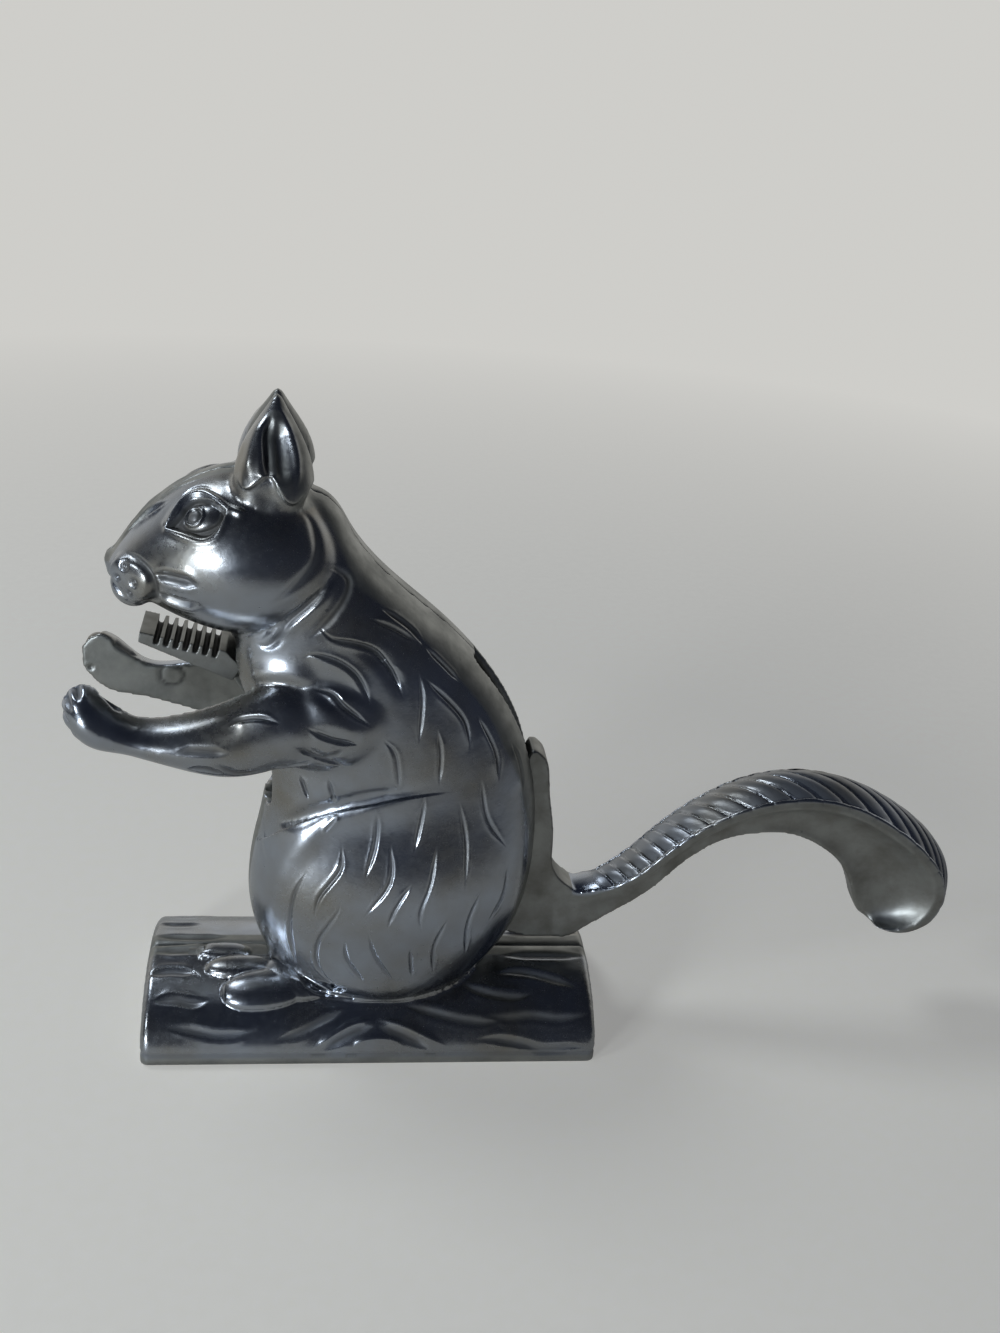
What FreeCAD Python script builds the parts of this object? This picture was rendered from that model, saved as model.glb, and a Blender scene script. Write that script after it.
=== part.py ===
"""Cast aluminium squirrel nutcracker: two cast halves, one lever with the tail and lower jaw, and pins.

Frame: +Z up, +X from the nose towards the tail, Y across the squirrel, millimetres.
The origin is the middle of the log's flat underside. The casting line lies in the plane y = 0.
"""
import FreeCAD, Part
import math
import os

V = FreeCAD.Vector
doc = FreeCAD.newDocument("Nutcracker")

# ---------------------------------------------------------------------------------------------
# Driving dimensions
# ---------------------------------------------------------------------------------------------
sheet = doc.addObject("Spreadsheet::Sheet", "Sizes")

SIZES = {
    # log base
    "log_length": 112,
    "log_half_width": 25.5,
    "log_height": 17.4,
    "log_plinth": 2.5,
    "log_wall": 4,
    "log_hollow_length": 72,
    "log_hollow_half": 17,
    "log_hollow_height": 8.6,
    # reach of each lofted form, from its first station to its last
    "torso_foot": 12,
    "torso_crown": 139,
    "torso_squareness": 2.5,
    "head_nose": -62.2,
    "head_nape": -10,
    "arm_root": -18,
    "arm_tip": -71,
    "arm_gap_half": 13,
    "ear_root": 136,
    "ear_tip": 161,
    "tail_root": 46,
    "tail_reach": 149.2,
    "tail_rim_band": 3.2,
    # hollow inside the two halves
    "body_wall": 4,
    "boss_radius": 8,
    # pivot and lever
    "pivot_across": -13,
    "pivot_height": 61,
    "pivot_pin_radius": 4,
    "pivot_pin_length": 26,
    "pivot_clearance": 0.05,
    "hub_radius": 9,
    "hub_well_gap": 3,
    "web_thickness": 8,
    "web_foot_reach": 59,
    "lever_side_gap": 0.4,
    "swing_angle": 30,
    "stop_angle": 38.2,
    "stop_gap_angle": 0.5,
    "slot_margin_angle": 2,
    "chest_margin_angle": 7.5,
    "bay_radius": 64,
    "chest_slot_radius": 48,
    "chest_slot_start": 96,
    # bite
    "jaw_width": 12.5,
    "jaw_side_gap": 1,
    "bite_gap": 3.6,
    "rib_pitch": 2.2,
    "rib_depth": 2,
    "rib_valley": 1.6,
    "rib_land": 3.2,
    "mouth_front_room": 11.8,
    "mouth_back_room": 2,
    "mouth_throat_room": 6,
    "mouth_lip_room": 12,
    "mouth_lip_drop": 4,
    # pins between the halves
    "dowel_radius": 2,
    "dowel_length": 12,
    "log_dowel_inset": 12,
    "log_dowel_height": 9,
    "head_dowel_across": -34,
    "head_dowel_height": 128,
    "nape_dowel_across": -6,
    "nape_dowel_height": 118,
}


def stations(form, fields, rows):
    """Adds a form's stations to the sizes, one value for each field of each station."""
    for row in rows:
        for field, value in zip(fields, row[1:]):
            SIZES["%s_%s_%s" % (form, row[0], field)] = value
    return [row[0] for row in rows]


# Lofted forms: share is how far a station lies from the form's first station to its last.
TORSO = stations("torso", ("share", "front", "back", "half"), [
    ("seat", 0, -16, 24, 16.5),
    ("rump", 0.079, -27, 31, 20.2),
    ("hip", 0.181, -31, 37.4, 22.8),
    ("waist", 0.299, -30, 39.2, 22.4),
    ("belly", 0.417, -27.4, 38.4, 19),
    ("chest", 0.535, -29, 34.8, 17.8),
    ("shoulder", 0.654, -34.5, 26.4, 17.4),
    ("collar", 0.756, -35, 14.6, 16.5),
    ("nape", 0.85, -30, 0.4, 14.5),
    ("poll", 0.937, -26, -8.6, 11),
    ("crown", 1, -26, -15.6, 6),
])
HEAD = stations("head", ("share", "low", "high", "half"), [
    ("nose", 0, 118.5, 122.5, 2.4),
    ("lip", 0.054, 116.4, 126.4, 6.6),
    ("muzzle", 0.176, 113, 134, 11.8),
    ("face", 0.368, 108.4, 141.6, 17.2),
    ("cheek", 0.579, 106.2, 144.4, 20),
    ("jowl", 0.77, 108.2, 142.6, 19),
    ("ruff", 0.923, 113.4, 136, 14.8),
    ("neck", 1, 119, 129, 9),
])
ARM = stations("arm", ("share", "low", "high", "depth"), [
    ("root", 0, 78, 98, 8.5),
    ("elbow", 0.189, 76, 97.5, 9.5),
    ("forearm", 0.377, 75.6, 92.6, 10),
    ("middle", 0.547, 78, 89.8, 9.2),
    ("wrist", 0.679, 80, 89.2, 8),
    ("heel", 0.792, 81.2, 92.4, 8.2),
    ("knuckle", 0.906, 83, 97, 8.6),
    ("toes", 0.977, 86.8, 95.4, 5.4),
    ("tip", 1, 89, 93.6, 2.6),
])
EAR = stations("ear", ("share", "across", "reach", "offset", "depth"), [
    ("lobe", 0, -26.6, 4.6, 9.6, 4.2),
    ("fold", 0.26, -26, 8.2, 8.2, 6.4),
    ("blade", 0.52, -25.6, 7.6, 6.4, 6),
    ("upper", 0.72, -25.5, 5.2, 4.6, 4.4),
    ("point", 0.88, -25.3, 2.6, 3.2, 2.8),
    ("tip", 1, -25.2, 0.7, 2.2, 1.2),
])
TAIL = stations("tail", ("keel_share", "keel_height", "top_share", "top_height", "half", "keel", "drop"), [
    ("root", 0, 22.8, -0.01, 40, 4, 4, 0.8),
    ("saddle", 0.078, 25.6, 0.053, 37.4, 4.4, 4.4, 0.9),
    ("neck", 0.15, 31.6, 0.11, 39.6, 5.6, 5.2, 1.2),
    ("rise", 0.228, 38.2, 0.178, 44.8, 6.8, 5.8, 1.5),
    ("slope", 0.31, 45.2, 0.262, 53.7, 7.2, 3.6, 1.6),
    ("shoulder", 0.402, 51.4, 0.355, 61.2, 7.4, 3, 1.6),
    ("crest", 0.489, 53.5, 0.467, 66.8, 7.8, 3, 1.7),
    ("summit", 0.572, 53.3, 0.595, 68.8, 8.1, 3, 1.8),
    ("fall", 0.645, 50.2, 0.721, 66.6, 8.5, 3, 2),
    ("curl", 0.702, 45.8, 0.849, 60, 9, 3, 2.4),
    ("bowl", 0.738, 40.8, 0.953, 51, 9.3, 3, 2.8),
    ("lip", 0.756, 36.6, 1, 42, 9.4, 3, 2.6),
    ("brim", 0.766, 33.6, 0.998, 34.6, 9.2, 2.8, 2.4),
    ("turn", 0.775, 31.6, 0.959, 28.8, 9, 2.6, 2),
    ("under", 0.783, 30.2, 0.899, 25.8, 8.2, 2.4, 1.8),
    ("tip", 0.789, 29, 0.828, 26.8, 5.4, 2, 1),
])
BEAM = stations("beam", ("across", "height"), [
    ("tip", -55, 106.6),
    ("heel", -36, 102.3),
    ("shoulder", -32.4, 98.4),
    ("neck", -27, 92),
    ("back", -7.4, 68.6),
    ("front", -20.8, 65.6),
    ("throat", -28.4, 84),
    ("keel", -34.6, 95),
    ("lip", -55.4, 104.2),
])
FINGER = stations("finger", ("across", "height"), [
    ("heel", 34.4, 51),
    ("inside", 36.2, 62),
    ("notch", 34.8, 71.5),
    ("tip", 36.6, 77),
    ("crown", 38.6, 76.2),
    ("outside", 41.7, 66),
    ("flank", 43.4, 56),
    ("root", 44, 46),
])
WEB = stations("web", ("across", "height"), [
    ("saddle", 48, 38.9),
    ("bend", 45.4, 41.8),
    ("rear", 28, 51.5),
    ("front", 12, 60),
    ("hub", -11.1, 69.8),
])

# Rounded forms: middle (across, aside, height), half sizes (long, wide, tall) and turn about the vertical.
MUSCLES = stations("form", ("across", "aside", "height", "long", "wide", "tall", "turn"), [
    ("shoulder", -12, -9, 89, 17, 12.5, 14, 0),
    ("muzzle_pad", -55.8, -5, 118.4, 5.2, 5.2, 5.6, 0),
    ("nose_tip", -60.8, 0, 121.8, 2.2, 3, 2.4, 0),
])
# Carved folds: three places as shares of the shoulder's half sizes from its middle, then how thick the
# carving tool is and how deep it goes, or how high a roll stands.
FOLD_FIELDS = (
    "start_along", "start_up", "middle_along", "middle_up", "end_along", "end_up", "thick", "depth")
CREASES = stations("fold", FOLD_FIELDS, [
    ("sleeve", 0.28, 1.49, 0.68, 1.14, 0.94, 0.56, 2, 1),
    ("armpit", -0.24, 0.71, 0.17, 0.45, 0.51, 0.14, 2, 1),
    ("elbow_upper", -0.31, 0.13, 0.09, -0.09, 0.36, -0.16, 2, 1.1),
    ("elbow_lower", -0.49, -0.22, -0.07, -0.54, 0.22, -0.72, 2.2, 1.1),
    ("thigh", -0.72, -2.01, 0.11, -1.41, 1.29, -1.04, 3.6, 0.9),
])
ROLLS = stations("fold", FOLD_FIELDS, [
    ("collar", -0.88, 1.4, -0.35, 1.95, 0.02, 2.47, 2.8, 1),
])
FOOT = stations("form", ("across", "aside", "height", "long", "wide", "tall", "turn"), [
    ("sole", -29.5, -10.5, 14.4, 13.5, 7.4, 4.2, -34),
    ("inner_toe", -41.6, -3, 16.4, 3.6, 2, 2.2, -30),
    ("middle_toe", -38.4, -8, 15.2, 4.1, 2.6, 2.4, -30),
    ("outer_toe", -35.2, -13, 14, 4.6, 3.2, 2.6, -30),
])

for row, (alias, value) in enumerate(SIZES.items(), start=1):
    sheet.set("A%d" % row, alias)
    sheet.set("B%d" % row, str(value))
    sheet.setAlias("B%d" % row, alias)
doc.recompute()


def get(alias):
    return float(sheet.get(alias))


# ---------------------------------------------------------------------------------------------
# Helpers
# ---------------------------------------------------------------------------------------------
def primitive(kind, label, sizes_of, place=()):
    """Adds a Part primitive, with its sizes and its place bound to the sheet."""
    item = doc.addObject(kind, label)
    for prop, expression in sizes_of.items():
        item.setExpression(prop, expression)
    for axis, expression in zip("xyz", place):
        item.setExpression("Placement.Base." + axis, expression)
    return item


def across(label, radius, low, high, x, z):
    """A cylinder along Y, from y = low to y = high, given as expressions."""
    item = primitive("Part::Cylinder", label, {"Radius": radius, "Height": "(%s) - (%s)" % (high, low)})
    item.Placement = FreeCAD.Placement(V(0, 0, 0), FreeCAD.Rotation(V(1, 0, 0), -90))
    for axis, expression in zip("xyz", (x, low, z)):
        item.setExpression("Placement.Base." + axis, expression)
    return item


def ellipsoid(name):
    """A rounded form with its middle, half sizes and turn bound to the sheet."""
    item = primitive("Part::Ellipsoid", name, {
        "Radius1": "Sizes.form_%s_tall" % name, "Radius2": "Sizes.form_%s_long" % name,
        "Radius3": "Sizes.form_%s_wide" % name})
    item.Angle1 = -90
    item.Angle2 = 90
    item.Placement = FreeCAD.Placement(V(0, 0, 0), FreeCAD.Rotation(V(0, 0, 1), get("form_%s_turn" % name)))
    for axis, field in zip("xyz", ("across", "aside", "height")):
        item.setExpression("Placement.Base." + axis, "Sizes.form_%s_%s" % (name, field))
    return item


def feature(label, shape):
    item = doc.addObject("Part::Feature", label)
    item.Shape = shape
    return item


def fuse(label, parts):
    item = doc.addObject("Part::MultiFuse", label)
    item.Shapes = parts
    item.Refine = True
    return item


def cut(label, base, tool):
    item = doc.addObject("Part::Cut", label)
    item.Base = base
    item.Tool = tool
    return item


def common(label, base, tool):
    item = doc.addObject("Part::Common", label)
    item.Base = base
    item.Tool = tool
    return item


def squared(angle, squareness):
    """The cosine and sine of an angle, pushed outwards: 2 keeps a true ellipse, more is boxier."""
    cosine = math.cos(angle)
    sine = math.sin(angle)
    reach = (abs(cosine) ** squareness + abs(sine) ** squareness) ** (-1 / squareness)
    return cosine * reach, sine * reach


def oval(centre, first, second, squareness=2, steps=10):
    """A closed smooth oval about centre, with two perpendicular half axes."""
    points = []
    for step in range(steps):
        cosine, sine = squared(2 * math.pi * step / steps, squareness)
        points.append(centre + first * cosine + second * sine)
    spline = Part.BSplineCurve()
    spline.interpolate(points, PeriodicFlag=True)
    return Part.Wire([spline.toShape()])


def loft(wires):
    return Part.makeLoft(wires, True, False)


def along(share, first, last):
    """The place a share of the way from one named size to another."""
    return get(first) + share * (get(last) - get(first))


def torso_loft(wall):
    """The body from the log to the crown, as level ovals drawn in from the skin by a wall."""
    wires = []
    names = TORSO if wall == 0 else TORSO[2:-4]
    for name in names:
        front = get("torso_%s_front" % name) + wall
        back = get("torso_%s_back" % name) - wall
        half = get("torso_%s_half" % name) - wall
        height = along(get("torso_%s_share" % name), "torso_foot", "torso_crown")
        centre = V((front + back) / 2, 0, height)
        wires.append(oval(centre, V((back - front) / 2, 0, 0), V(0, half, 0), get("torso_squareness")))
    return loft(wires)


def head_loft():
    wires = []
    for name in HEAD:
        low = get("head_%s_low" % name)
        high = get("head_%s_high" % name)
        centre = V(along(get("head_%s_share" % name), "head_nose", "head_nape"), 0, (low + high) / 2)
        wires.append(oval(centre, V(0, get("head_%s_half" % name), 0), V(0, 0, (high - low) / 2)))
    return loft(wires)


def arm_loft():
    """The forearm: ovals centred on the arm's flat inner face."""
    wires = []
    inner = -get("arm_gap_half")
    for name in ARM:
        low = get("arm_%s_low" % name)
        high = get("arm_%s_high" % name)
        centre = V(along(get("arm_%s_share" % name), "arm_root", "arm_tip"), inner, (low + high) / 2)
        wires.append(oval(centre, V(0, get("arm_%s_depth" % name), 0), V(0, 0, (high - low) / 2)))
    return loft(wires)


def ear_loft():
    wires = []
    for name in EAR:
        height = along(get("ear_%s_share" % name), "ear_root", "ear_tip")
        centre = V(get("ear_%s_across" % name), -get("ear_%s_offset" % name), height)
        reach = get("ear_%s_reach" % name)
        wires.append(oval(centre, V(reach, 0, 0), V(0, get("ear_%s_depth" % name), 0)))
    return loft(wires)


def curve(points):
    """A smooth open curve through the given points."""
    spline = Part.BSplineCurve()
    spline.interpolate(points)
    return spline.toShape()


def tee(keel, top, half, keel_half, drop):
    """A tail section: a crowned cap with a rim band, and hollowed flanks down to a narrow keel."""
    rise = (top - keel).normalize()
    depth = (top - keel).Length
    eave = depth - drop
    brow = eave - min(get("tail_rim_band"), eave / 3)

    def at(height, aside):
        return keel + rise * height + V(0, aside, 0)

    edges = [Part.makeLine(at(0, -keel_half), at(0, keel_half))]
    waist = keel_half + (half - keel_half) * 0.12
    edges.append(curve([at(0, keel_half), at(brow * 0.55, waist), at(brow, half)]))
    edges.append(Part.makeLine(at(brow, half), at(eave, half)))
    edges.append(curve([at(eave, half), at(depth, 0), at(eave, -half)]))
    edges.append(Part.makeLine(at(eave, -half), at(brow, -half)))
    edges.append(curve([at(brow, -half), at(brow * 0.55, -waist), at(0, -keel_half)]))
    return Part.Wire(edges)


def tail_point(name, edge):
    """A station's keel or top point, in the lever's plane."""
    return V(along(get("tail_%s_%s_share" % (name, edge)), "tail_root", "tail_reach"), 0,
             get("tail_%s_%s_height" % (name, edge)))


def tail_loft():
    wires = []
    for name in TAIL:
        wires.append(tee(tail_point(name, "keel"), tail_point(name, "top"), get("tail_%s_half" % name),
                         get("tail_%s_keel" % name), get("tail_%s_drop" % name)))
    return loft(wires)


def plate(label, points, thickness):
    """A flat plate in the plane of the lever, centred on y = 0."""
    corners = [V(x, -thickness / 2, z) for x, z in points]
    face = Part.Face(Part.makePolygon(corners + corners[:1]))
    return feature(label, face.extrude(V(0, thickness, 0)))


def smooth_plate(label, spans, thickness):
    """A plate whose outline is a chain of spans, each a straight line or a smooth curve."""
    edges = []
    for span in spans:
        corners = [V(x, -thickness / 2, z) for x, z in span]
        if len(corners) == 2:
            edges.append(Part.makeLine(corners[0], corners[1]))
        else:
            edges.append(curve(corners))
    face = Part.Face(Part.Wire(edges))
    return feature(label, face.extrude(V(0, thickness, 0)))


# ---------------------------------------------------------------------------------------------
# Log base
# ---------------------------------------------------------------------------------------------
bark_end = doc.addObject("Part::Ellipse", "bark_end")
bark_end.setExpression("MajorRadius", "Sizes.log_half_width")
bark_end.setExpression("MinorRadius", "Sizes.log_height - Sizes.log_plinth")
bark_end.Placement = FreeCAD.Placement(
    V(0, 0, 0), FreeCAD.Rotation(V(0, 1, 0), V(0, 0, 1), V(1, 0, 0), "ZXY"))
bark_end.setExpression("Placement.Base.x", "-Sizes.log_length / 2")
bark_end.setExpression("Placement.Base.z", "Sizes.log_plinth")
bark = doc.addObject("Part::Extrusion", "bark")
bark.Base = bark_end
bark.DirMode = "Custom"
bark.Dir = V(1, 0, 0)
bark.Solid = True
bark.setExpression("LengthFwd", "Sizes.log_length")
plinth = primitive(
    "Part::Box", "plinth",
    {"Length": "Sizes.log_length", "Width": "2 * Sizes.log_half_width", "Height": "Sizes.log_plinth"},
    ("-Sizes.log_length / 2", "-Sizes.log_half_width", "0"))
ground = primitive(
    "Part::Box", "ground",
    {"Length": "2 * Sizes.log_length", "Width": "4 * Sizes.log_half_width", "Height": "2 * Sizes.log_height"},
    ("-Sizes.log_length", "-2 * Sizes.log_half_width", "-2 * Sizes.log_height"))
log = cut("log", fuse("log_bar", [bark, plinth]), ground)

# ---------------------------------------------------------------------------------------------
# Outside of a half casting
# ---------------------------------------------------------------------------------------------
torso = feature("torso", torso_loft(0))
head = feature("head", head_loft())
ear = feature("ear", ear_loft())
muscles = [ellipsoid(name) for name in MUSCLES]
foot_forms = [ellipsoid(name) for name in FOOT]

arm_blank = feature("arm_blank", arm_loft())
arm_inside = primitive(
    "Part::Box", "arm_inside",
    {"Length": "Sizes.log_length", "Width": "2 * Sizes.arm_gap_half", "Height": "Sizes.log_length"},
    ("-Sizes.log_length", "-Sizes.arm_gap_half", "0"))
arm = cut("arm", arm_blank, arm_inside)

# ---------------------------------------------------------------------------------------------
# Inside of a half casting: the lever's bay, the cast hollow and its bosses
# ---------------------------------------------------------------------------------------------
def sector(label, half_width, radius, first, last):
    """A fan about the pivot, swept from angle first to angle last in the lever's plane."""
    item = primitive("Part::Cylinder", label, {
        "Radius": radius, "Height": "2 * (%s)" % half_width, "Angle": "(%s) - (%s)" % (last, first)})
    item.setExpression("Placement", "create(<<placement>>; create(<<vector>>; Sizes.pivot_across; -(%s);"
                       " Sizes.pivot_height); create(<<rotation>>; create(<<vector>>; 1; 0; 0); -90)"
                       " * create(<<rotation>>; create(<<vector>>; 0; 0; 1); -(%s)))" % (half_width, last))
    return item


def face_point(name, lift=0):
    """A point of the jaw's ribbed face, lifted at right angles to it."""
    tip = V(get("beam_tip_across"), 0, get("beam_tip_height"))
    heel = V(get("beam_heel_across"), 0, get("beam_heel_height"))
    run = (heel - tip).normalize()
    return {"tip": tip, "heel": heel}[name] + V(-run.z, 0, run.x) * lift


SLOT_HALF = "Sizes.web_thickness / 2 + Sizes.lever_side_gap"
JAW_HALF = "Sizes.jaw_width / 2 + Sizes.jaw_side_gap"
FINGER_ANGLE = math.degrees(math.atan2(
    get("finger_tip_height") - get("pivot_height"), get("finger_tip_across") - get("pivot_across")))
JAW_ANGLE = math.degrees(math.atan2(
    get("beam_lip_height") - get("pivot_height"), get("beam_lip_across") - get("pivot_across")))
back_slot = sector("back_slot", SLOT_HALF, "Sizes.bay_radius",
                   "-Sizes.stop_angle - Sizes.stop_gap_angle",
                   "%.4f + Sizes.swing_angle + Sizes.slot_margin_angle" % FINGER_ANGLE)
chest_slot = sector("chest_slot", JAW_HALF, "Sizes.chest_slot_radius", "Sizes.chest_slot_start",
                    "%.4f + Sizes.swing_angle + Sizes.chest_margin_angle" % JAW_ANGLE)
face_line = (face_point("heel") - face_point("tip")).normalize()
palate_front = face_point("tip", get("bite_gap")) - face_line * get("mouth_front_room")
palate_back = face_point("heel", get("bite_gap")) + face_line * get("mouth_back_room")
mouth = plate("mouth", [
    (palate_front.x, palate_front.z), (palate_back.x, palate_back.z),
    (get("beam_neck_across") + get("mouth_throat_room"), get("beam_neck_height")),
    (get("beam_throat_across"), get("beam_throat_height")),
    (get("beam_lip_across") - get("mouth_lip_room"), get("beam_lip_height") - get("mouth_lip_drop"))],
    get("jaw_width") + 2 * get("jaw_side_gap"))
hub_well = across("hub_well", "Sizes.hub_radius + Sizes.hub_well_gap", "-(%s)" % SLOT_HALF, SLOT_HALF,
                  "Sizes.pivot_across", "Sizes.pivot_height")

hollow_blank = feature("hollow_blank", torso_loft(get("body_wall")))
boss_blank = across("boss_blank", "Sizes.boss_radius", "-2 * Sizes.log_half_width", "-(%s)" % SLOT_HALF,
                    "Sizes.pivot_across", "Sizes.pivot_height")
hollow = cut("hollow", hollow_blank, boss_blank)
pivot_hole = across("pivot_hole", "Sizes.pivot_pin_radius", "-Sizes.pivot_pin_length / 2",
                    "Sizes.pivot_pin_length / 2", "Sizes.pivot_across", "Sizes.pivot_height")

DOWELS = {
    "head_dowel": ("Sizes.head_dowel_across", "Sizes.head_dowel_height"),
    "nape_dowel": ("Sizes.nape_dowel_across", "Sizes.nape_dowel_height"),
    "log_front_dowel": ("Sizes.log_dowel_inset - Sizes.log_length / 2", "Sizes.log_dowel_height"),
    "log_rear_dowel": ("Sizes.log_length / 2 - Sizes.log_dowel_inset", "Sizes.log_dowel_height"),
}


def dowel(label, place):
    return across(label, "Sizes.dowel_radius", "-Sizes.dowel_length / 2", "Sizes.dowel_length / 2", *place)


dowel_holes = [dowel(name + "_hole", place) for name, place in DOWELS.items()]

# ---------------------------------------------------------------------------------------------
# The two halves
# ---------------------------------------------------------------------------------------------
outside = fuse("outside", [log, torso, head, ear, arm] + muscles)
doc.recompute()


def skin_point(along_share, up_share):
    """A point on the outside of the left half, placed from the shoulder's middle."""
    x = get("form_shoulder_across") + along_share * get("form_shoulder_long")
    z = get("form_shoulder_height") + up_share * get("form_shoulder_tall")
    ray = Part.makeLine(V(x, -get("log_length"), z), V(x, 0, z))
    return V(x, ray.common(outside.Shape).BoundBox.YMin, z)


def fold(name, side):
    """A tapered form lying along the skin: side 1 for a crease to cut, -1 for a roll to add."""
    places = [get("fold_%s_%s" % (name, field)) for field in FOLD_FIELDS[:6]]
    thick = get("fold_%s_thick" % name)
    depth = get("fold_%s_depth" % name)
    marks = []
    for share in [step / (len(FOLD_TAPER) - 1) for step in range(len(FOLD_TAPER))]:
        weights = (1 - share) * (1 - 2 * share), 4 * share * (1 - share), share * (2 * share - 1)
        marks.append(skin_point(sum(w * p for w, p in zip(weights, places[0::2])),
                                sum(w * p for w, p in zip(weights, places[1::2]))))
    wires = []
    for index, taper in enumerate(FOLD_TAPER):
        run = marks[min(index + 1, len(marks) - 1)] - marks[max(index - 1, 0)]
        run.normalize()
        outward = V(0, -1, 0) + run * run.y
        outward.normalize()
        centre = marks[index] + outward * side * (thick - depth) * taper
        wires.append(oval(centre, outward * thick * taper, outward.cross(run) * thick * taper))
    return feature(name + "_fold", loft(wires))


FOLD_TAPER = (0.15, 0.75, 1, 1, 1, 0.75, 0.15)
rolled = fuse("rolled_outside", [outside] + [fold(name, -1) for name in ROLLS])
creased = cut("creased_outside", rolled, fuse("creases", [fold(name, 1) for name in CREASES]))
left_side = primitive(
    "Part::Box", "left_side",
    {"Length": "4 * Sizes.log_length", "Width": "4 * Sizes.log_half_width", "Height": "4 * Sizes.log_length"},
    ("-2 * Sizes.log_length", "-4 * Sizes.log_half_width", "-Sizes.log_height"))
left_outside = common("left_outside", creased, left_side)
log_hollow = primitive(
    "Part::Box", "log_hollow",
    {"Length": "Sizes.log_hollow_length", "Width": "2 * Sizes.log_hollow_half",
     "Height": "Sizes.log_hollow_height"},
    ("-Sizes.log_hollow_length / 2", "-Sizes.log_hollow_half", "Sizes.log_wall"))
rooms = [back_slot, chest_slot, mouth, hub_well, hollow, log_hollow, pivot_hole]
inside = fuse("inside", rooms + dowel_holes)
plain_half = cut("plain_half", left_outside, inside)
foot_blank = fuse("foot_blank", foot_forms)
foot = cut("foot", common("foot_side", foot_blank, left_side), log_hollow)
left_half = fuse("left_body_half", [plain_half, foot])
right_half = doc.addObject("Part::Mirroring", "right_body_half")
right_half.Source = plain_half
right_half.Normal = V(0, 1, 0)

# ---------------------------------------------------------------------------------------------
# Lever: web, finger, hub, ribbed jaw and tail in one casting
# ---------------------------------------------------------------------------------------------
pivot = V(get("pivot_across"), 0, get("pivot_height"))


def named(form, name):
    return get("%s_%s_across" % (form, name)), get("%s_%s_height" % (form, name))


def radial(radius, angle):
    """A point in the lever's plane, from the pivot."""
    turn = math.radians(angle)
    return pivot.x + radius * math.cos(turn), pivot.z + radius * math.sin(turn)


web_foot = radial(get("web_foot_reach"), -get("stop_angle"))
finger_outline = [named("finger", name) for name in FINGER]
root_end = tail_point("root", "keel")
keel_end = tail_point("saddle", "keel")
crown_end = tail_point("saddle", "top")
web = smooth_plate("web", [
    [(pivot.x, pivot.z), web_foot],
    [web_foot, (root_end.x, root_end.z), (keel_end.x, keel_end.z)],
    [(keel_end.x, keel_end.z), (crown_end.x, crown_end.z - get("tail_saddle_drop"))],
    [(crown_end.x, crown_end.z - get("tail_saddle_drop")), named("web", "saddle"), named("web", "bend"),
     finger_outline[-1]],
    finger_outline[3:][::-1],
    finger_outline[:4][::-1],
    [finger_outline[0], named("web", "rear"), named("web", "front"), named("web", "hub")],
    [named("web", "hub"), (pivot.x, pivot.z)],
], get("web_thickness"))
beam = plate("beam", [named("beam", name) for name in BEAM if name != "shoulder"], get("web_thickness"))
jaw = plate("jaw", [named("beam", name) for name in ("tip", "heel", "shoulder", "keel", "lip")],
            get("jaw_width"))
hub = across("hub", "Sizes.hub_radius", "-Sizes.web_thickness / 2", "Sizes.web_thickness / 2",
             "Sizes.pivot_across", "Sizes.pivot_height")
tail = feature("tail", tail_loft())
grooves = []
tip = face_point("tip")
up = V(-face_line.z, 0, face_line.x)
rib_count = int(((face_point("heel") - tip).Length - get("rib_land")) / get("rib_pitch"))
for index in range(rib_count):
    start = tip + face_line * (get("rib_land") + index * get("rib_pitch"))
    slope = face_line * (get("rib_valley") / 5)
    end = start + face_line * get("rib_valley")
    foot_line = up * get("rib_depth")
    corners = [start + up, end + up, end - slope - foot_line, start + slope - foot_line]
    grooves.append(plate("groove_%d" % (index + 1), [(p.x, p.z) for p in corners], 2 * get("jaw_width")))
bore = across("bore", "Sizes.pivot_pin_radius + Sizes.pivot_clearance", "-Sizes.web_thickness",
              "Sizes.web_thickness", "Sizes.pivot_across", "Sizes.pivot_height")
lever_blank = fuse("lever_blank", [web, beam, jaw, hub, tail])
lever = cut("tail_lever", lever_blank, fuse("lever_cuts", grooves + [bore]))

# ---------------------------------------------------------------------------------------------
# Pins
# ---------------------------------------------------------------------------------------------
pivot_pin = across("pivot_pin", "Sizes.pivot_pin_radius", "-Sizes.pivot_pin_length / 2",
                   "Sizes.pivot_pin_length / 2", "Sizes.pivot_across", "Sizes.pivot_height")
dowels = [dowel(name, place) for name, place in DOWELS.items()]

# ---------------------------------------------------------------------------------------------
# Checks and export
# ---------------------------------------------------------------------------------------------
doc.recompute()
for item in doc.Objects:
    if "Invalid" in item.State or "Error" in item.State:
        raise RuntimeError("%s failed: %s" % (item.Label, item.State))
os.makedirs("parts", exist_ok=True)
for node in [left_half, right_half, lever, pivot_pin] + dowels:
    shape = node.Shape
    if shape.isNull() or not shape.isValid():
        raise RuntimeError("%s has no valid shape" % node.Label)
    shape.exportStep("parts/%s.step" % node.Label)
    print("%-18s %d solid(s) %9.1f mm3" % (node.Label, len(shape.Solids), shape.Volume))
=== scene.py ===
# %% [markdown]
# A cast aluminium nutcracker in the shape of a squirrel on a log. Two half castings meet on the middle
# plane, and one lever casting carries the tail outside and a ribbed jaw inside. The solids come from the
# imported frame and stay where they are; this script gives them their carving, their finish and a studio.

import math

import bmesh
import bpy
import numpy as np
from mathutils import Matrix, Vector
from mathutils.bvhtree import BVHTree


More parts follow.
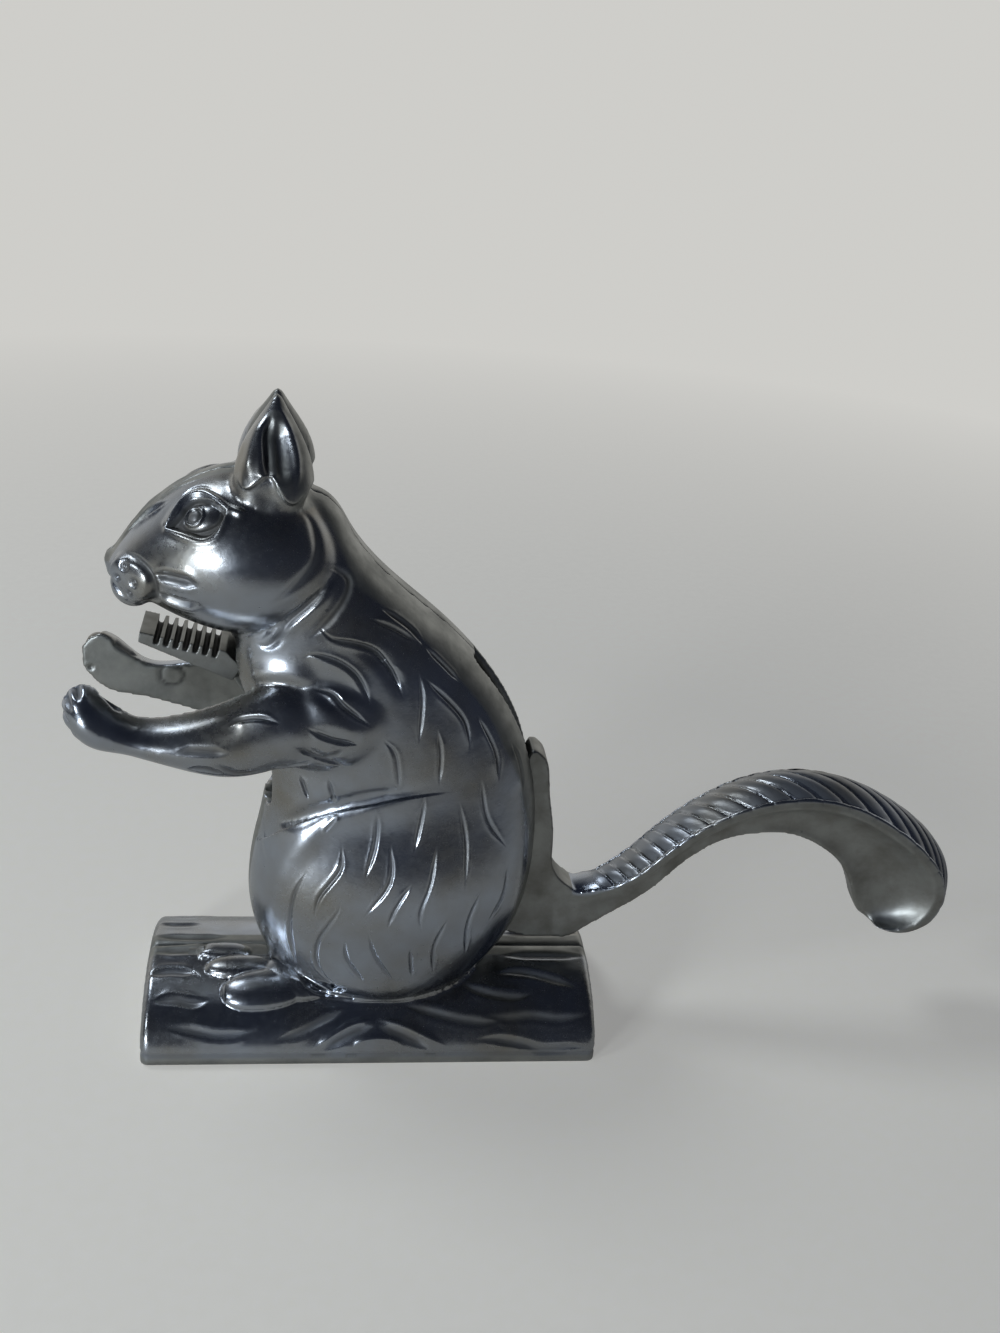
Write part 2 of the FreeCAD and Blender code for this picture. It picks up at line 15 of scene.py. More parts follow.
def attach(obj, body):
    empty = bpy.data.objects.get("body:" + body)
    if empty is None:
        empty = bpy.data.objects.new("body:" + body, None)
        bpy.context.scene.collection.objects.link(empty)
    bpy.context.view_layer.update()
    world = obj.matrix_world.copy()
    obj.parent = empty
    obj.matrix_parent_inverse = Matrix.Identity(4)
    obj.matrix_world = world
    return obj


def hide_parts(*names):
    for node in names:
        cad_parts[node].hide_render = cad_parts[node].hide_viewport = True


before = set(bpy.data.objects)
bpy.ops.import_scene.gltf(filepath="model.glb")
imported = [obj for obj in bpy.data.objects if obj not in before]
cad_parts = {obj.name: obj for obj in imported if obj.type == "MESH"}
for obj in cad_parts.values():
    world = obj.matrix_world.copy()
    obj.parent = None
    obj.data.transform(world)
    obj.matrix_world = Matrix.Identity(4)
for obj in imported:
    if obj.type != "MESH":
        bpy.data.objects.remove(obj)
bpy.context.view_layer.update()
print("solids:", sorted(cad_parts))

# %% [markdown]
# A foundry pattern is carved in wood or plaster before it is moulded in sand, so every edge of the casting
# comes out a little soft. Here each solid is copied, wrapped in a fine even skin with a voxel remesh, and
# relaxed. A subdivision surface would need a clean cage first; a remesh takes any closed solid, keeps its
# outline, and gives the small even faces that carving needs.

# %% Soft even skin over a solid
MM = 0.001


def place_object(name, data):
    """Puts a new object with this data in the scene."""
    item = bpy.data.objects.new(name, data)
    bpy.context.scene.collection.objects.link(item)
    return item


def arrays(mesh):
    """Vertex places and normals of a mesh, in millimetres and as unit vectors."""
    places = np.zeros(len(mesh.vertices) * 3)
    normals = np.zeros(len(mesh.vertices) * 3)
    mesh.vertices.foreach_get("co", places)
    mesh.vertex_normals.foreach_get("vector", normals)
    return places.reshape(-1, 3) / MM, normals.reshape(-1, 3)


def store(mesh, places):
    """Writes places in millimetres back to a mesh."""
    mesh.vertices.foreach_set("co", (places * MM).ravel())
    mesh.update()


def edge_pairs(mesh):
    """The two vertex numbers of every edge."""
    pairs = np.zeros(len(mesh.edges) * 2, np.int64)
    mesh.edges.foreach_get("vertices", pairs)
    return pairs.reshape(-1, 2)


def relax(mesh, rounds, share=0.5, keep=0.52, weight=1.0):
    """Moves vertices towards their neighbours' middle, then back so that nothing shrinks."""
    places, _ = arrays(mesh)
    pairs = edge_pairs(mesh)
    count = np.bincount(pairs.ravel(), minlength=len(places))[:, None].clip(1)
    for step in range(rounds * 2):
        total = np.zeros_like(places)
        for axis in range(3):
            total[:, axis] = (np.bincount(pairs[:, 0], places[pairs[:, 1], axis], len(places))
                              + np.bincount(pairs[:, 1], places[pairs[:, 0], axis], len(places)))
        pull = share if step % 2 == 0 else -keep
        places = places + (total / count - places) * pull * weight
    store(mesh, places)


def slice_of(source, low, high):
    """A copy of a mesh with what lies outside two values of x cut off and the cuts closed."""
    work = bmesh.new()
    work.from_mesh(source)
    bmesh.ops.remove_doubles(work, verts=work.verts[:], dist=0.001 * MM)
    for place, facing in ((low, -1), (high, 1)):
        everything = work.verts[:] + work.edges[:] + work.faces[:]
        cut = bmesh.ops.bisect_plane(work, geom=everything, plane_co=(place * MM, 0, 0),
                                     plane_no=(facing, 0, 0), clear_outer=True)
        rim = [item for item in cut["geom_cut"] if isinstance(item, bmesh.types.BMEdge)]
        if rim:
            bmesh.ops.triangle_fill(work, edges=rim, use_beauty=True)
    mesh = bpy.data.meshes.new(source.name + "_slice")
    work.to_mesh(mesh)
    work.free()
    return mesh


def skin(node, name, spans):
    """A CAD solid as an even mesh, in slices along x.

    Each slice is (from x, to x, size of face in mm, rounds of relaxing).
    """
    work = bmesh.new()
    for low, high, voxel, rounds in spans:
        shell = place_object(name, slice_of(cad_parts[node].data, low, high))
        remesh = shell.modifiers.new("even", "REMESH")
        remesh.mode = "VOXEL"
        remesh.voxel_size = voxel * MM
        evaluated = shell.evaluated_get(bpy.context.evaluated_depsgraph_get())
        even = bpy.data.meshes.new_from_object(evaluated)
        relax(even, rounds)
        work.from_mesh(even)
        bpy.data.objects.remove(shell)
    mesh = bpy.data.meshes.new(name)
    work.to_mesh(mesh)
    work.free()
    mesh.materials.clear()
    mesh.shade_smooth()
    print(name, "skin:", len(mesh.vertices), "vertices")
    return place_object(name, mesh)


SIDES = {"left_body_half": -1, "right_body_half": 1}
HALF_SLICES = [(-90, 90, 0.7, 5)]
JAW_SLICE = (-90, -30.8, 0.24, 2)
TAIL_SLICE = (-31.2, 190, 0.5, 3)
halves = {}
for node, side in SIDES.items():
    halves[node] = skin(node, node.replace("_half", "_casting"), HALF_SLICES)
lever = skin("tail_lever", "tail_lever_casting", [JAW_SLICE, TAIL_SLICE])

# %% [markdown]
# The carving is done the way a pattern maker does it: broad forms first, then the edges, then thin gouge
# strokes. A mark is a short chain of places on the skin in millimetres. Two numbers are x and z seen from
# the side, three are x, y and z; each is brought onto the skin first, so the marks follow the solid.
# Distances are measured in space, so a stroke keeps its width where the skin turns away.

# %% Chains and profiles
PIECES = 5


def fade(values, low, high):
    """0 below low, 1 above high, and a smooth rise between."""
    share = np.clip((values - low) / (high - low), 0, 1)
    return share * share * (3 - 2 * share)


def norms(vectors):
    """The lengths of many vectors."""
    return np.linalg.norm(vectors, axis=1)


def bell(values, width):
    """1 at zero, falling away smoothly on both sides."""
    return np.exp(-(values / width) ** 2)


def smooth_chain(chain):
    """A chain with rounded corners through the same points, in PIECES steps between them."""
    points = [np.array(p, float) for p in chain]
    points = [2 * points[0] - points[1]] + points + [2 * points[-1] - points[-2]]
    rounded = []
    for a, b, c, d in zip(points, points[1:], points[2:], points[3:]):
        for step in range(PIECES):
            t = step / PIECES
            rounded.append(0.5 * (2 * b + (c - a) * t + (2 * a - 5 * b + 4 * c - d) * t * t
                                  + (3 * b - a - 3 * c + d) * t ** 3))
    return np.array(rounded + [points[-2]])


def chain_distance(places, chain):
    """Distance of places from a chain, the share along it, and the side as seen along y."""
    best = np.full(len(places), 1e9)
    along = np.zeros(len(places))
    turn = np.zeros(len(places))
    lengths = norms(np.diff(chain, axis=0))
    done = 0.0
    for first, second, length in zip(chain[:-1], chain[1:], lengths):
        step = second - first
        offset = places - first
        share = np.clip((offset @ step) / (length * length), 0, 1)
        gap = norms(offset - share[:, None] * step)
        nearer = gap < best
        best[nearer] = gap[nearer]
        along[nearer] = (done + share[nearer] * length) / lengths.sum()
        turn[nearer] = np.sign(step[0] * offset[nearer, -1] - step[-1] * offset[nearer, 0])
        done += length
    return best, along, turn


def split(mesh, chosen):
    """Halves every edge whose two vertices are chosen."""
    pairs = edge_pairs(mesh)
    picked = np.where(chosen[pairs[:, 0]] & chosen[pairs[:, 1]])[0]
    work = bmesh.new()
    work.from_mesh(mesh)
    work.edges.ensure_lookup_table()
    edges = [work.edges[i] for i in picked]
    bmesh.ops.subdivide_edges(work, edges=edges, cuts=1, use_grid_fill=True, smooth=0)
    work.to_mesh(mesh)
    work.free()
    mesh.shade_smooth()


class Clay:
    """A skin while it is carved, in millimetres, mirrored so that outside is always towards -y."""

    # y where rays start, y that a hit may not pass, and y to search from if it does
    FAR_OUTSIDE = -90
    LEAST_DEPTH = -2
    MIDDLE_DEPTH = -12

    def __init__(self, shell, side):
        self.mesh = shell.data
        self.flip = np.array([1.0, -side, 1.0])
        self.read()
        vertices = [Vector(place) for place in self.places]
        faces = [tuple(face.vertices) for face in self.mesh.polygons]
        self.tree = BVHTree.FromPolygons(vertices, faces)

    def read(self):
        """Takes the mesh as it is now, with no grime, painted shade or painted dark reflection on it."""
        places, normals = arrays(self.mesh)
        self.places = places * self.flip
        self.normals = normals * self.flip
        self.grime_and_painted_dark = np.zeros(len(places))

    def write(self):
        store(self.mesh, self.places * self.flip)

    def on_skin(self, mark):
        """The place on the skin that a mark stands for."""
        if len(mark) == 2:
            x, z = mark
            hit = self.tree.ray_cast(Vector((x, self.FAR_OUTSIDE, z)), Vector((0, 1, 0)))[0]
            if hit is None or hit.y > self.LEAST_DEPTH:
                hit = self.tree.find_nearest(Vector((x, self.MIDDLE_DEPTH, z)))[0]
            return hit
        return self.tree.find_nearest(Vector(mark))[0]

    def chain(self, marks):
        """A smooth chain over the skin through the marks."""
        return smooth_chain([self.on_skin(mark) for mark in marks])

    def near(self, middle, reach):
        """Which vertices lie within reach of a place."""
        return norms(self.places - middle) < reach

    def spots(self, chain, reach):
        """The numbers of the vertices in the box of a chain, widened by reach."""
        low = chain.min(0) - reach
        high = chain.max(0) + reach
        return np.where(np.all((self.places > low) & (self.places < high), axis=1))[0]

    def refine(self, chains, reach, also=None):
        """Splits the faces within reach of any chain."""
        close = np.zeros(len(self.places), bool) if also is None else also
        for chain in chains:
            spots = self.spots(chain, reach)
            if len(spots):
                gap = chain_distance(self.places[spots], chain)[0]
                close[spots[gap < reach]] = True
        split(self.mesh, close)
        self.read()

    def soften(self, low, high, rounds, blend=3.0, keep=0.5):
        """Melts the creases inside a box, with a soft border."""
        x, y, z = self.places.T
        weight = np.ones(len(x))
        for values, bottom, top in zip((x, y, z), low, high):
            weight *= fade(values, bottom, bottom + blend) * fade(top - values, 0, blend)
        relax(self.mesh, rounds, 0.5, keep, weight[:, None])
        self.read()

    def push(self, height, spots=slice(None)):
        """Moves vertices along their normals."""
        self.places[spots] += self.normals[spots] * height[:, None]

    def lay_grime_and_painted_dark(self, grime_and_painted_dark, spots=slice(None)):
        """Leaves grime and painted shade where there is less than that; on the tail it also takes a
        painted dark reflection.
        """
        self.grime_and_painted_dark[spots] = np.maximum(self.grime_and_painted_dark[spots], grime_and_painted_dark)

    def settle(self, rounds):
        """Writes the skin back, evens it and reads the new normals."""
        self.write()
        grime_and_painted_dark = self.grime_and_painted_dark
        if rounds:
            relax(self.mesh, rounds)
        self.read()
        self.grime_and_painted_dark = grime_and_painted_dark

    def gouge(self, marks, width, depth, lip=0.15, ends=(0.3, 0.3), shoulder=0.0, grime_and_shade=1.0):
        """A groove that thins towards its ends; depth below zero makes a ridge.

        A shoulder swells the skin on the side that lies below the chain.
        """
        chain = self.chain(marks)
        spots = self.spots(chain, 4 * width + 6 * (shoulder != 0))
        gap, along, turn = chain_distance(self.places[spots], chain)
        taper = fade(along, -0.02, ends[0]) * fade(1 - along, -0.02, ends[1])
        wide = width * (0.4 + 0.6 * taper)
        lips = lip * bell(gap - 2.1 * wide, 0.9 * wide)
        change = depth * taper * (lips - bell(gap, wide))
        if shoulder:
            below = fade(-turn * gap, -0.1, 0.5)
            change += shoulder * taper * below * bell(gap, 2.6)
        self.push(change, spots)
        # the groove's floor is darkened: grime, with painted shade in the cut
        if depth > 0:
            self.lay_grime_and_painted_dark(grime_and_shade * taper * bell(gap, wide * 0.9), spots)

    def step(self, marks, high, low, reach_high, reach_low, edge=0.3, ends=(0.02, 0.3)):
        """A sharp edge: the skin drops by low above it and swells by high below it."""
        chain = self.chain(marks)
        spots = self.spots(chain, 2.2 * max(reach_high, reach_low))
        gap, along, turn = chain_distance(self.places[spots], chain)
        signed = turn * gap
        upper = fade(signed, -edge, edge)
        taper = fade(along, -0.02, ends[0]) * fade(1 - along, -0.02, ends[1])
        swell = high * (1 - upper) * bell(gap, reach_high)
        drop = low * upper * bell(gap, reach_low)
        self.push(taper * (swell - drop), spots)

    def bead(self, mark, pit, ball, depth, height):
        """A round bead in a round pit."""
        centre = self.places[np.argmin(norms(self.places - mark))]
        gap = norms(self.places - centre)
        trench = gap - ball - 0.15
        dome = height * fade(ball - gap, -0.25, ball * 0.8)
        self.push(dome - depth * bell(trench, pit - ball))
        # the pit is darkened: grime, with painted shade in the hollow
        self.lay_grime_and_painted_dark(0.9 * bell(trench, (pit - ball) * 0.8))


# %% [markdown]
# The fur is a few dozen shallow strokes, with folds where the arm meets the body. On a wooden pattern they
# are cut freehand, so every stroke is its own short chain; a repeated stamp would look printed.

# %% Marks of the body and the arm
FOLDS = [
    [(-15.2, 113.3), (-12.3, 110.8), (-7.3, 109.8), (-3.3, 108.1), (-1, 105.7), (1.4, 102.2), (3.9, 96.9)],
    [(-18.4, 106.1), (-16.1, 106.9), (-11.1, 105.6), (-7.1, 102.8), (-4.7, 98.7), (-3.2, 94.9)],
    [(-16, 98.9), (-12, 98.2), (-9.1, 95.3), (-3.3, 91)],
    [(-1.9, 116.9), (4.6, 112), (8.2, 108)],
    [(8.4, 101.3), (17, 92.3), (19.3, 87.3), (19.8, 83)],
    [(21.3, 91.2), (26.1, 81.8), (27.4, 74.3)],
    [(30.3, 82.3), (32.6, 76.5), (34.1, 69)],
    [(-17.2, 90.8), (-13.9, 89), (-10.5, 87.8), (-5.8, 86.7)],
    [(-20.4, 86.4), (-17.1, 84.1), (-13.2, 82), (-8.3, 79.5)],
    [(-24.9, 80), (-20.5, 80.1), (-15.4, 82.2)],
    [(-34.7, 90.9), (-32, 92.3), (-27.7, 93.1), (-23.3, 92.3)],
]
FUR = [
    [(-4.1, 115), (1.1, 112.6), (7, 108.7)],
    [(8.2, 108), (12.4, 103.8), (17.1, 98.8)],
    [(7.1, 102.8), (8.3, 96.1), (7.9, 85.6)],
    [(12.1, 88.9), (13.2, 82.3), (13.1, 74.8)],
    [(-0.3, 86.9), (2.8, 82.4), (4.2, 71.1)],
    [(-19, 75.6), (-16.6, 69)],
    [(-12.3, 75.7), (-10.4, 67.9)],
    [(23, 76.2), (25.2, 65.4), (30.2, 57.4)],
    [(18.2, 70.2), (20.3, 59.9), (20.4, 47.9)],
    [(-16.8, 51.8), (-19.7, 45.3), (-20.5, 35.5), (-18.8, 23.4)],
    [(-8.7, 58.8), (-9.1, 53.3), (-13.7, 45.9), (-14.8, 40.2)],
    [(-9.2, 67), (-13.5, 61.4)],
    [(-0.8, 69.7), (-1, 60.3), (-3.1, 52)],
    [(-8.9, 45.3), (-9.4, 42.4), (-13.7, 33.3), (-13.6, 24.6), (-9.7, 19)],
    [(2.5, 60.4), (2.6, 51), (-3.4, 41.6)],
    [(10, 72.8), (9.4, 66.5), (8, 58.4)],
    [(7.7, 50.7), (4.3, 44.6), (2.4, 38.9)],
    [(13.3, 60), (12.2, 50.7), (10.1, 43), (10.7, 37.1)],
    [(-7.4, 35.2), (-6.6, 28.1), (-1.9, 20)],
    [(-2, 37.6), (0.1, 29.7), (4.9, 20.5)],
    [(17, 41.6), (14.1, 32.6), (14.5, 23)],
    [(8.2, 32.7), (9.4, 21.8)],
    [(24.8, 48.3), (21.9, 38.5), (22.1, 27.7)],
    [(30.9, 52.9), (30.4, 45.3), (27.1, 37.8)],
]
THIGH = [
    (-27.3, 54.4), (-23, 59.4), (-17.1, 63.5), (-9.5, 67.3), (-1.9, 69.6), (4.4, 71.5), (10.3, 72.5),
    (15, 73)
]
HAUNCH_SHOULDER = [(-11, 64), (-17.5, 58.5), (-22, 52), (-24.6, 44), (-25, 36)]
ARM = [
    [(-46.1, -22.2, 84.7), (-42.8, -22.4, 85.5), (-39, -22.8, 85.6), (-34.1, -22.9, 85.3)],
    [(-43.5, -21.5, 80.6), (-39.1, -22.1, 80.7), (-35.3, -20.7, 78.6)],
    [(-38.5, -22.4, 81.4), (-36.3, -22.5, 81.7), (-32, -20.5, 78.9), (-25.4, -19.2, 79.6)],
    [(-14.3, -19.4, 81.5), (-11, -20.7, 84.2), (-8.8, -21, 86)],
]
FINGERS = [
    [(-68.2, -13.6, 97.2), (-67.4, -16.2, 96.4), (-66.6, -18.6, 94.6)],
    [(-70.6, -14, 94.6), (-69.3, -17, 94.2), (-67.4, -19.6, 92.6)],
    [(-70.9, -14, 91.3), (-70, -17, 91.2), (-67.6, -19.8, 90.4)],
    [(-69, -14, 88.6), (-68, -17, 88.4), (-65.8, -19.6, 88.2)],
]
THUMB = [(-62.8, -13.2, 95.5), (-61.6, -13.6, 93.8), (-60.7, -14, 92.6), (-58.1, -14.6, 90.7)]

# %% [markdown]
# The head has the finest work: an eye in an almond opening, an ear like a folded leaf, a muzzle pad with
# four dots, and a mouth of two strokes. Each is cut alone on a pattern, so each has its own marks here.

# %% Marks of the head
MOUTH = [
    [(-51, 123.4), (-47, 123.6), (-43, 123.4), (-40.5, 122.9)],
    [(-50.6, 119), (-47.5, 117.9), (-44.2, 117.5), (-40.6, 118.2)],
]
LIP = [(-50.4, -9, 115.2), (-46.9, -8.6, 112.9), (-42.9, -10.6, 112)]
PAD = [
    (-61, -4.4, 120.6), (-60.1, -4.6, 123.7), (-58, -6, 126.1), (-54.6, -10.2, 126), (-51.7, -12.6, 124.2),
    (-50.4, -13, 120.9), (-50.9, -10.6, 116.2), (-53.5, -9.3, 114.2), (-56.9, -8.6, 115.8),
    (-59.5, -7.2, 118.2), (-61, -4.4, 120.6)
]
DOTS = [(-56.6, -9.1, 123.5), (-58.9, -8.6, 120.6), (-54.3, -10.5, 120.7), (-56, -10.1, 117.7)]
PAD_MIDDLE = (-56, -9.6, 120.4)
BRIDGE = [
    (-57.4, -2.6, 128.6), (-54.9, -3, 131.4), (-52.1, -4, 134.2), (-49.9, -4.9, 136.1), (-48, -5.6, 137.3)
]
CROWN_EDGE = [
    (-61.6, -2, 125.2), (-57.6, -2.4, 129.4), (-51.4, -2.4, 135.6), (-45.2, -2.6, 140.2),
    (-39.8, -3.6, 142.6)
]
CHEEK = [
    (-19.8, -11.6, 139.8), (-17.7, -11.2, 136.3), (-16.2, -13.5, 132.7), (-16.4, -15.8, 129),
    (-18.4, -17.6, 126.2), (-21.5, -18.6, 123.1), (-25.7, -18.7, 119.5)
]
COLLAR_ROLL = [(-27, -14.2, 108.6), (-20.5, -15.8, 113.2), (-15, -15.6, 118.6), (-11.6, -13.9, 123.6)]
COLLAR_INNER = [
    (-30, -13, 107.5), (-25.8, -14.1, 107.9), (-21.5, -15.6, 114.4), (-17.8, -15.3, 118.3),
    (-14.9, -14.7, 121.6), (-13.2, -13.8, 124.6)
]
COLLAR_OUTER = [
    (-14, -14.5, 126.6), (-12.1, -12.5, 125.8), (-9.3, -12.3, 123.8), (-9, -13.3, 121.3),
    (-10.5, -14.8, 118.3), (-13.4, -15.8, 114.5), (-17.1, -15.9, 110.8)
]
EAR_VALLEY = [(-26.2, -6.2, 157.6), (-26.7, -8.6, 154.2), (-26.6, -11, 150.6), (-26.5, -13.6, 146.3)]
EAR_FOLD = [
    (-27.1, -5.4, 157.9), (-29, -7.7, 154.1), (-30.1, -10.5, 150), (-30.2, -12.6, 146.6),
    (-29.4, -13.7, 144.9)
]
EAR_DISH = [
    (-25.4, -6.6, 157.2), (-24.6, -8.8, 154.1), (-23.9, -11.2, 150.6), (-23.6, -13, 147.3),
    (-23.2, -13.8, 144.3)
]
EAR_RIM = [
    (-25.6, -4.2, 159.8), (-23.2, -6.2, 156.8), (-20.9, -9.4, 151.5), (-20.4, -12, 147.1),
    (-21.2, -13.4, 143.4), (-22, -13.7, 140.8)
]
EAR_FOOT = [
    (-33.2, -10, 144.4), (-31.6, -12.8, 143.2), (-29.8, -13.6, 143.6), (-26.4, -13.6, 146.2),
    (-24.6, -13.9, 143.4), (-22.8, -14, 141), (-20.9, -12.9, 140.4), (-19.4, -11.8, 142)
]

# %% [markdown]
# The bark is cut in long strokes with one knot below the haunch. The near foot lies on it with three toes
# and a heel. It is all one casting, so the toes are raised from the skin and are no pieces of their own.

# %% Marks of the foot and the log
# middle x and y, half length, half width, height and turn of three toes and the heel
TOES = [
    (-37, -3.2, 6.6, 2.9, 1.7, 0.0), (-32.5, -8.7, 8.8, 3.5, 2.3, 0.0),
    (-26.3, -14.7, 10.8, 5.0, 2.9, 0.1), (-18.5, -11.5, 9.5, 6.4, 3.1, 0.0)
]
LOG_FOOT = 2.5
LOG_HALF = (25.5, 14.9)
LOG_END = 56
LOG_TOP = 19
END_ROUNDING = 2.2
HAUNCH_MIDDLE_X = 3.5
HAUNCH_HALF = (23.5, 18)
HAUNCH_RIM = [
    (-24.5, -14.5, 16.2), (-17.4, -16, 14.3), (-10.4, -17, 13.7), (-2.2, -17.2, 13.5), (6.1, -17, 13.7),
    (14.4, -15.8, 14.3), (21.3, -12.9, 15.3), (27.6, -7.6, 16.5)
]
BARK = [
    [(-55.2, -3.2, 17.3), (-49.6, -2.9, 17.3), (-43.9, -2.6, 17.4), (-36.4, -3, 17.3)],
    [(-55.4, -10.8, 16), (-49.8, -9.8, 16.2), (-43.3, -10.5, 16.1)],
    [(-53.5, -17.8, 13.2), (-48.4, -17.2, 13.5), (-43.6, -18, 13.1), (-39.6, -17.4, 13.3)],
    [(-50.3, -22.6, 9.3), (-43.9, -23, 8.9), (-38.3, -23.7, 7.9), (-33.6, -23.8, 7.9), (-28, -23.2, 8.6)],
    [(31.1, -10.8, 16), (35.9, -10.1, 16.2), (41, -10.8, 16), (47.6, -13, 15.3), (52.1, -14.6, 14.7)],
    [(21.7, -12.5, 15.5), (25.4, -14.8, 14.6), (31.2, -16.4, 13.8), (36.2, -16.9, 13.7),
     (40.5, -16.1, 14.1)],
    [(27.6, -20.8, 11.1), (33.4, -21.3, 10.7), (39.3, -21, 11), (46.9, -21.5, 10.5), (54.5, -20.7, 11.2)],
    [(25.1, -24.6, 6.4), (30.9, -24.5, 6.6), (37.6, -25, 5.4), (42.7, -25.4, 3.8), (49.4, -25.3, 4.5),
     (54.5, -25.2, 4.6)],
    [(33, -4.6, 17.1), (45.1, -4.8, 17.1), (55.4, -5, 17.1)],
    [(-23.9, -24.6, 6.4), (-18.3, -23.6, 8.1), (-12.7, -21.8, 10.2), (-6.3, -19.3, 12.2)],
    [(6.9, -18.4, 12.8), (14.3, -20.1, 11.7), (20.9, -21.4, 10.6), (27.5, -22, 10), (32.6, -21.7, 10.3)],
]
KNOT = [
    [(-14.4, -25.2, 4.4), (-10.2, -24.1, 7.4), (-5.4, -22.4, 9.6), (0.7, -21.3, 10.7)],
    [(0.7, -21.3, 10.7), (6, -22.2, 9.8), (11.8, -23.7, 7.9), (18.6, -25.1, 4.8)],
    [(-4.9, -25.3, 4), (-2.9, -24.6, 6.3), (1.2, -24.3, 7), (5.3, -24.5, 6.6), (8.2, -25.1, 4.4)],
]
KNOT_DIP = [
    [(-12.4, -25.3, 3.9), (-7.6, -24.4, 6.8), (-3, -23.2, 8.7), (1, -22.6, 9.3)],
    [(1, -22.6, 9.3), (5.6, -23.3, 8.3), (10, -24.4, 6.6), (14.6, -25.3, 3.9)],
]

# %% [markdown]
# A stroke isn't enough for the eye, the ear's foot, the muzzle pad, the ends of the log and the toes. Each
# is a height over a small flat area, laid on the skin there. It can't tear the skin as a joined-on solid
# could.

# %% The eye
EYE_MIDDLE = (-42, -12.7, 136.8)
EYE_OUTWARD = np.array([-0.404, -0.638, 0.655])
EYE_ACROSS = np.array([0.908, -0.196, 0.370])
EYE_UPWARD = np.cross(EYE_OUTWARD, EYE_ACROSS)
EYE_REACH = 13
SOCKET_DEPTH = 1.4
BALL_MIDDLE = [1.3, -0.3]
BALL_HALF = [4.9, 3.3]
BALL_HEIGHT = 1.5
IRIS_RADIUS = 2.1
PUPIL_RADIUS = 1.45
OPENING = [
    (-6.9, -0.5), (-3.9, 1.6), (-2.4, 3.5), (0.3, 4.4), (3.2, 3.3), (5.9, 0.7), (6.8, -0.9), (5.5, -3),
    (3.5, -4.9), (0.7, -5.1), (-3, -2.9), (-6.9, -0.5)
]
UPPER_LID = [
    (-6.6, 0.6), (-4.5, 3.1), (-2.7, 5), (-0.3, 5.9), (2.4, 5.3), (5.2, 2.8), (7.2, 0.4), (9.7, -1.2)
]
BROW = [(-7, 0.2), (-5.2, 3.1), (-3.4, 5.4), (-0.9, 7.3), (1.9, 7.1), (5, 4.4), (7.4, 1.6)]
LOWER_LID = [(-6.9, -1), (-3.4, -3.7), (0.5, -6), (4, -5.8), (6.1, -3.4), (7.2, -1)]


def eye_middle(clay):
    """The middle of the eye on the skin."""
    return np.array(clay.on_skin(EYE_MIDDLE))


def inside(flat, corners):
    """Which 2-D points lie inside a closed outline."""
    within = np.zeros(len(flat), bool)
    for (x1, y1), (x2, y2) in zip(corners[:-1], corners[1:]):
        crosses = (y1 > flat[:, 1]) != (y2 > flat[:, 1])
        where = (x2 - x1) * (flat[:, 1] - y1) / (y2 - y1 + 1e-12) + x1
        within ^= crosses & (flat[:, 0] < where)
    return within


def carve_eye(clay):
    """Sinks the opening, raises the ball in it, and lays lids and brow round it."""
    offset = clay.places - eye_middle(clay)
    facing = clay.normals @ EYE_OUTWARD > 0.15
    near = np.where((norms(offset) < EYE_REACH) & facing)[0]
    flat = np.stack([offset[near] @ EYE_ACROSS, offset[near] @ EYE_UPWARD], axis=1)
    outline = smooth_chain(OPENING)
    edge = chain_distance(flat, outline)[0]
    signed = np.where(inside(flat, outline), -edge, edge)
    upper = chain_distance(flat, smooth_chain(UPPER_LID))[0]
    brow, share, _ = chain_distance(flat, smooth_chain(BROW))
    lower = chain_distance(flat, smooth_chain(LOWER_LID))[0]
    radius = norms(flat)
    ball = norms((flat - BALL_MIDDLE) / BALL_HALF)
    # the opening, the upper lid, the line of the brow, the lower lid, the ball, iris and pupil
    height = -SOCKET_DEPTH * fade(-signed, -0.15, 0.7)
    height += 0.75 * bell(upper, 0.95) * fade(signed, -0.3, 0.3)
    height -= 0.25 * bell(brow, 0.5) * fade(1 - share, 0, 0.3)
    height += 0.3 * bell(lower, 0.8) * fade(signed, -0.3, 0.3)
    height += BALL_HEIGHT * np.sqrt(np.clip(1 - ball ** 2, 0, 1)) * fade(1 - ball, -0.05, 0.1)
    height += 0.4 * bell(radius - IRIS_RADIUS, 0.3) - 0.35 * bell(radius - 1.6, 0.22)
    height += 0.4 * np.sqrt(np.clip(1 - (radius / PUPIL_RADIUS) ** 2, 0, 1))
    clay.push(height, near)
    beside_ball = fade(-signed, -0.1, 0.4) * fade(ball, 0.82, 1.0)
    in_iris = 0.7 * fade(1.8 - radius, 0, 0.4)
    clay.lay_grime_and_painted_dark(np.maximum(beside_ball, in_iris), near)


# %% The log and the foot
def round_log(clay):
    """Rounds the ends of the log and cuts the line above its flat foot."""
    x, y, z = clay.places.T
    low = z < LOG_TOP
    end = np.clip(LOG_END - np.abs(x), 0, END_ROUNDING)
    arc = np.sqrt(END_ROUNDING ** 2 - (END_ROUNDING - end) ** 2)
    drawn = np.where(low, END_ROUNDING - arc, 0)
    y = y * (1 - drawn / 27 * fade(-y, 0, 6))
    z = z - drawn * fade(z, 4, 12)
    clay.places = np.stack([x, y, z], axis=1)
    upright = fade(-clay.normals[:, 1] + np.abs(clay.normals[:, 0]), 0.4, 0.7)
    line = bell(z - 2.8, 0.45) * low * upright
    clay.push(-0.35 * line)
    # the line above the foot is darkened: grime, with painted shade in the cut
    clay.lay_grime_and_painted_dark(0.8 * line)


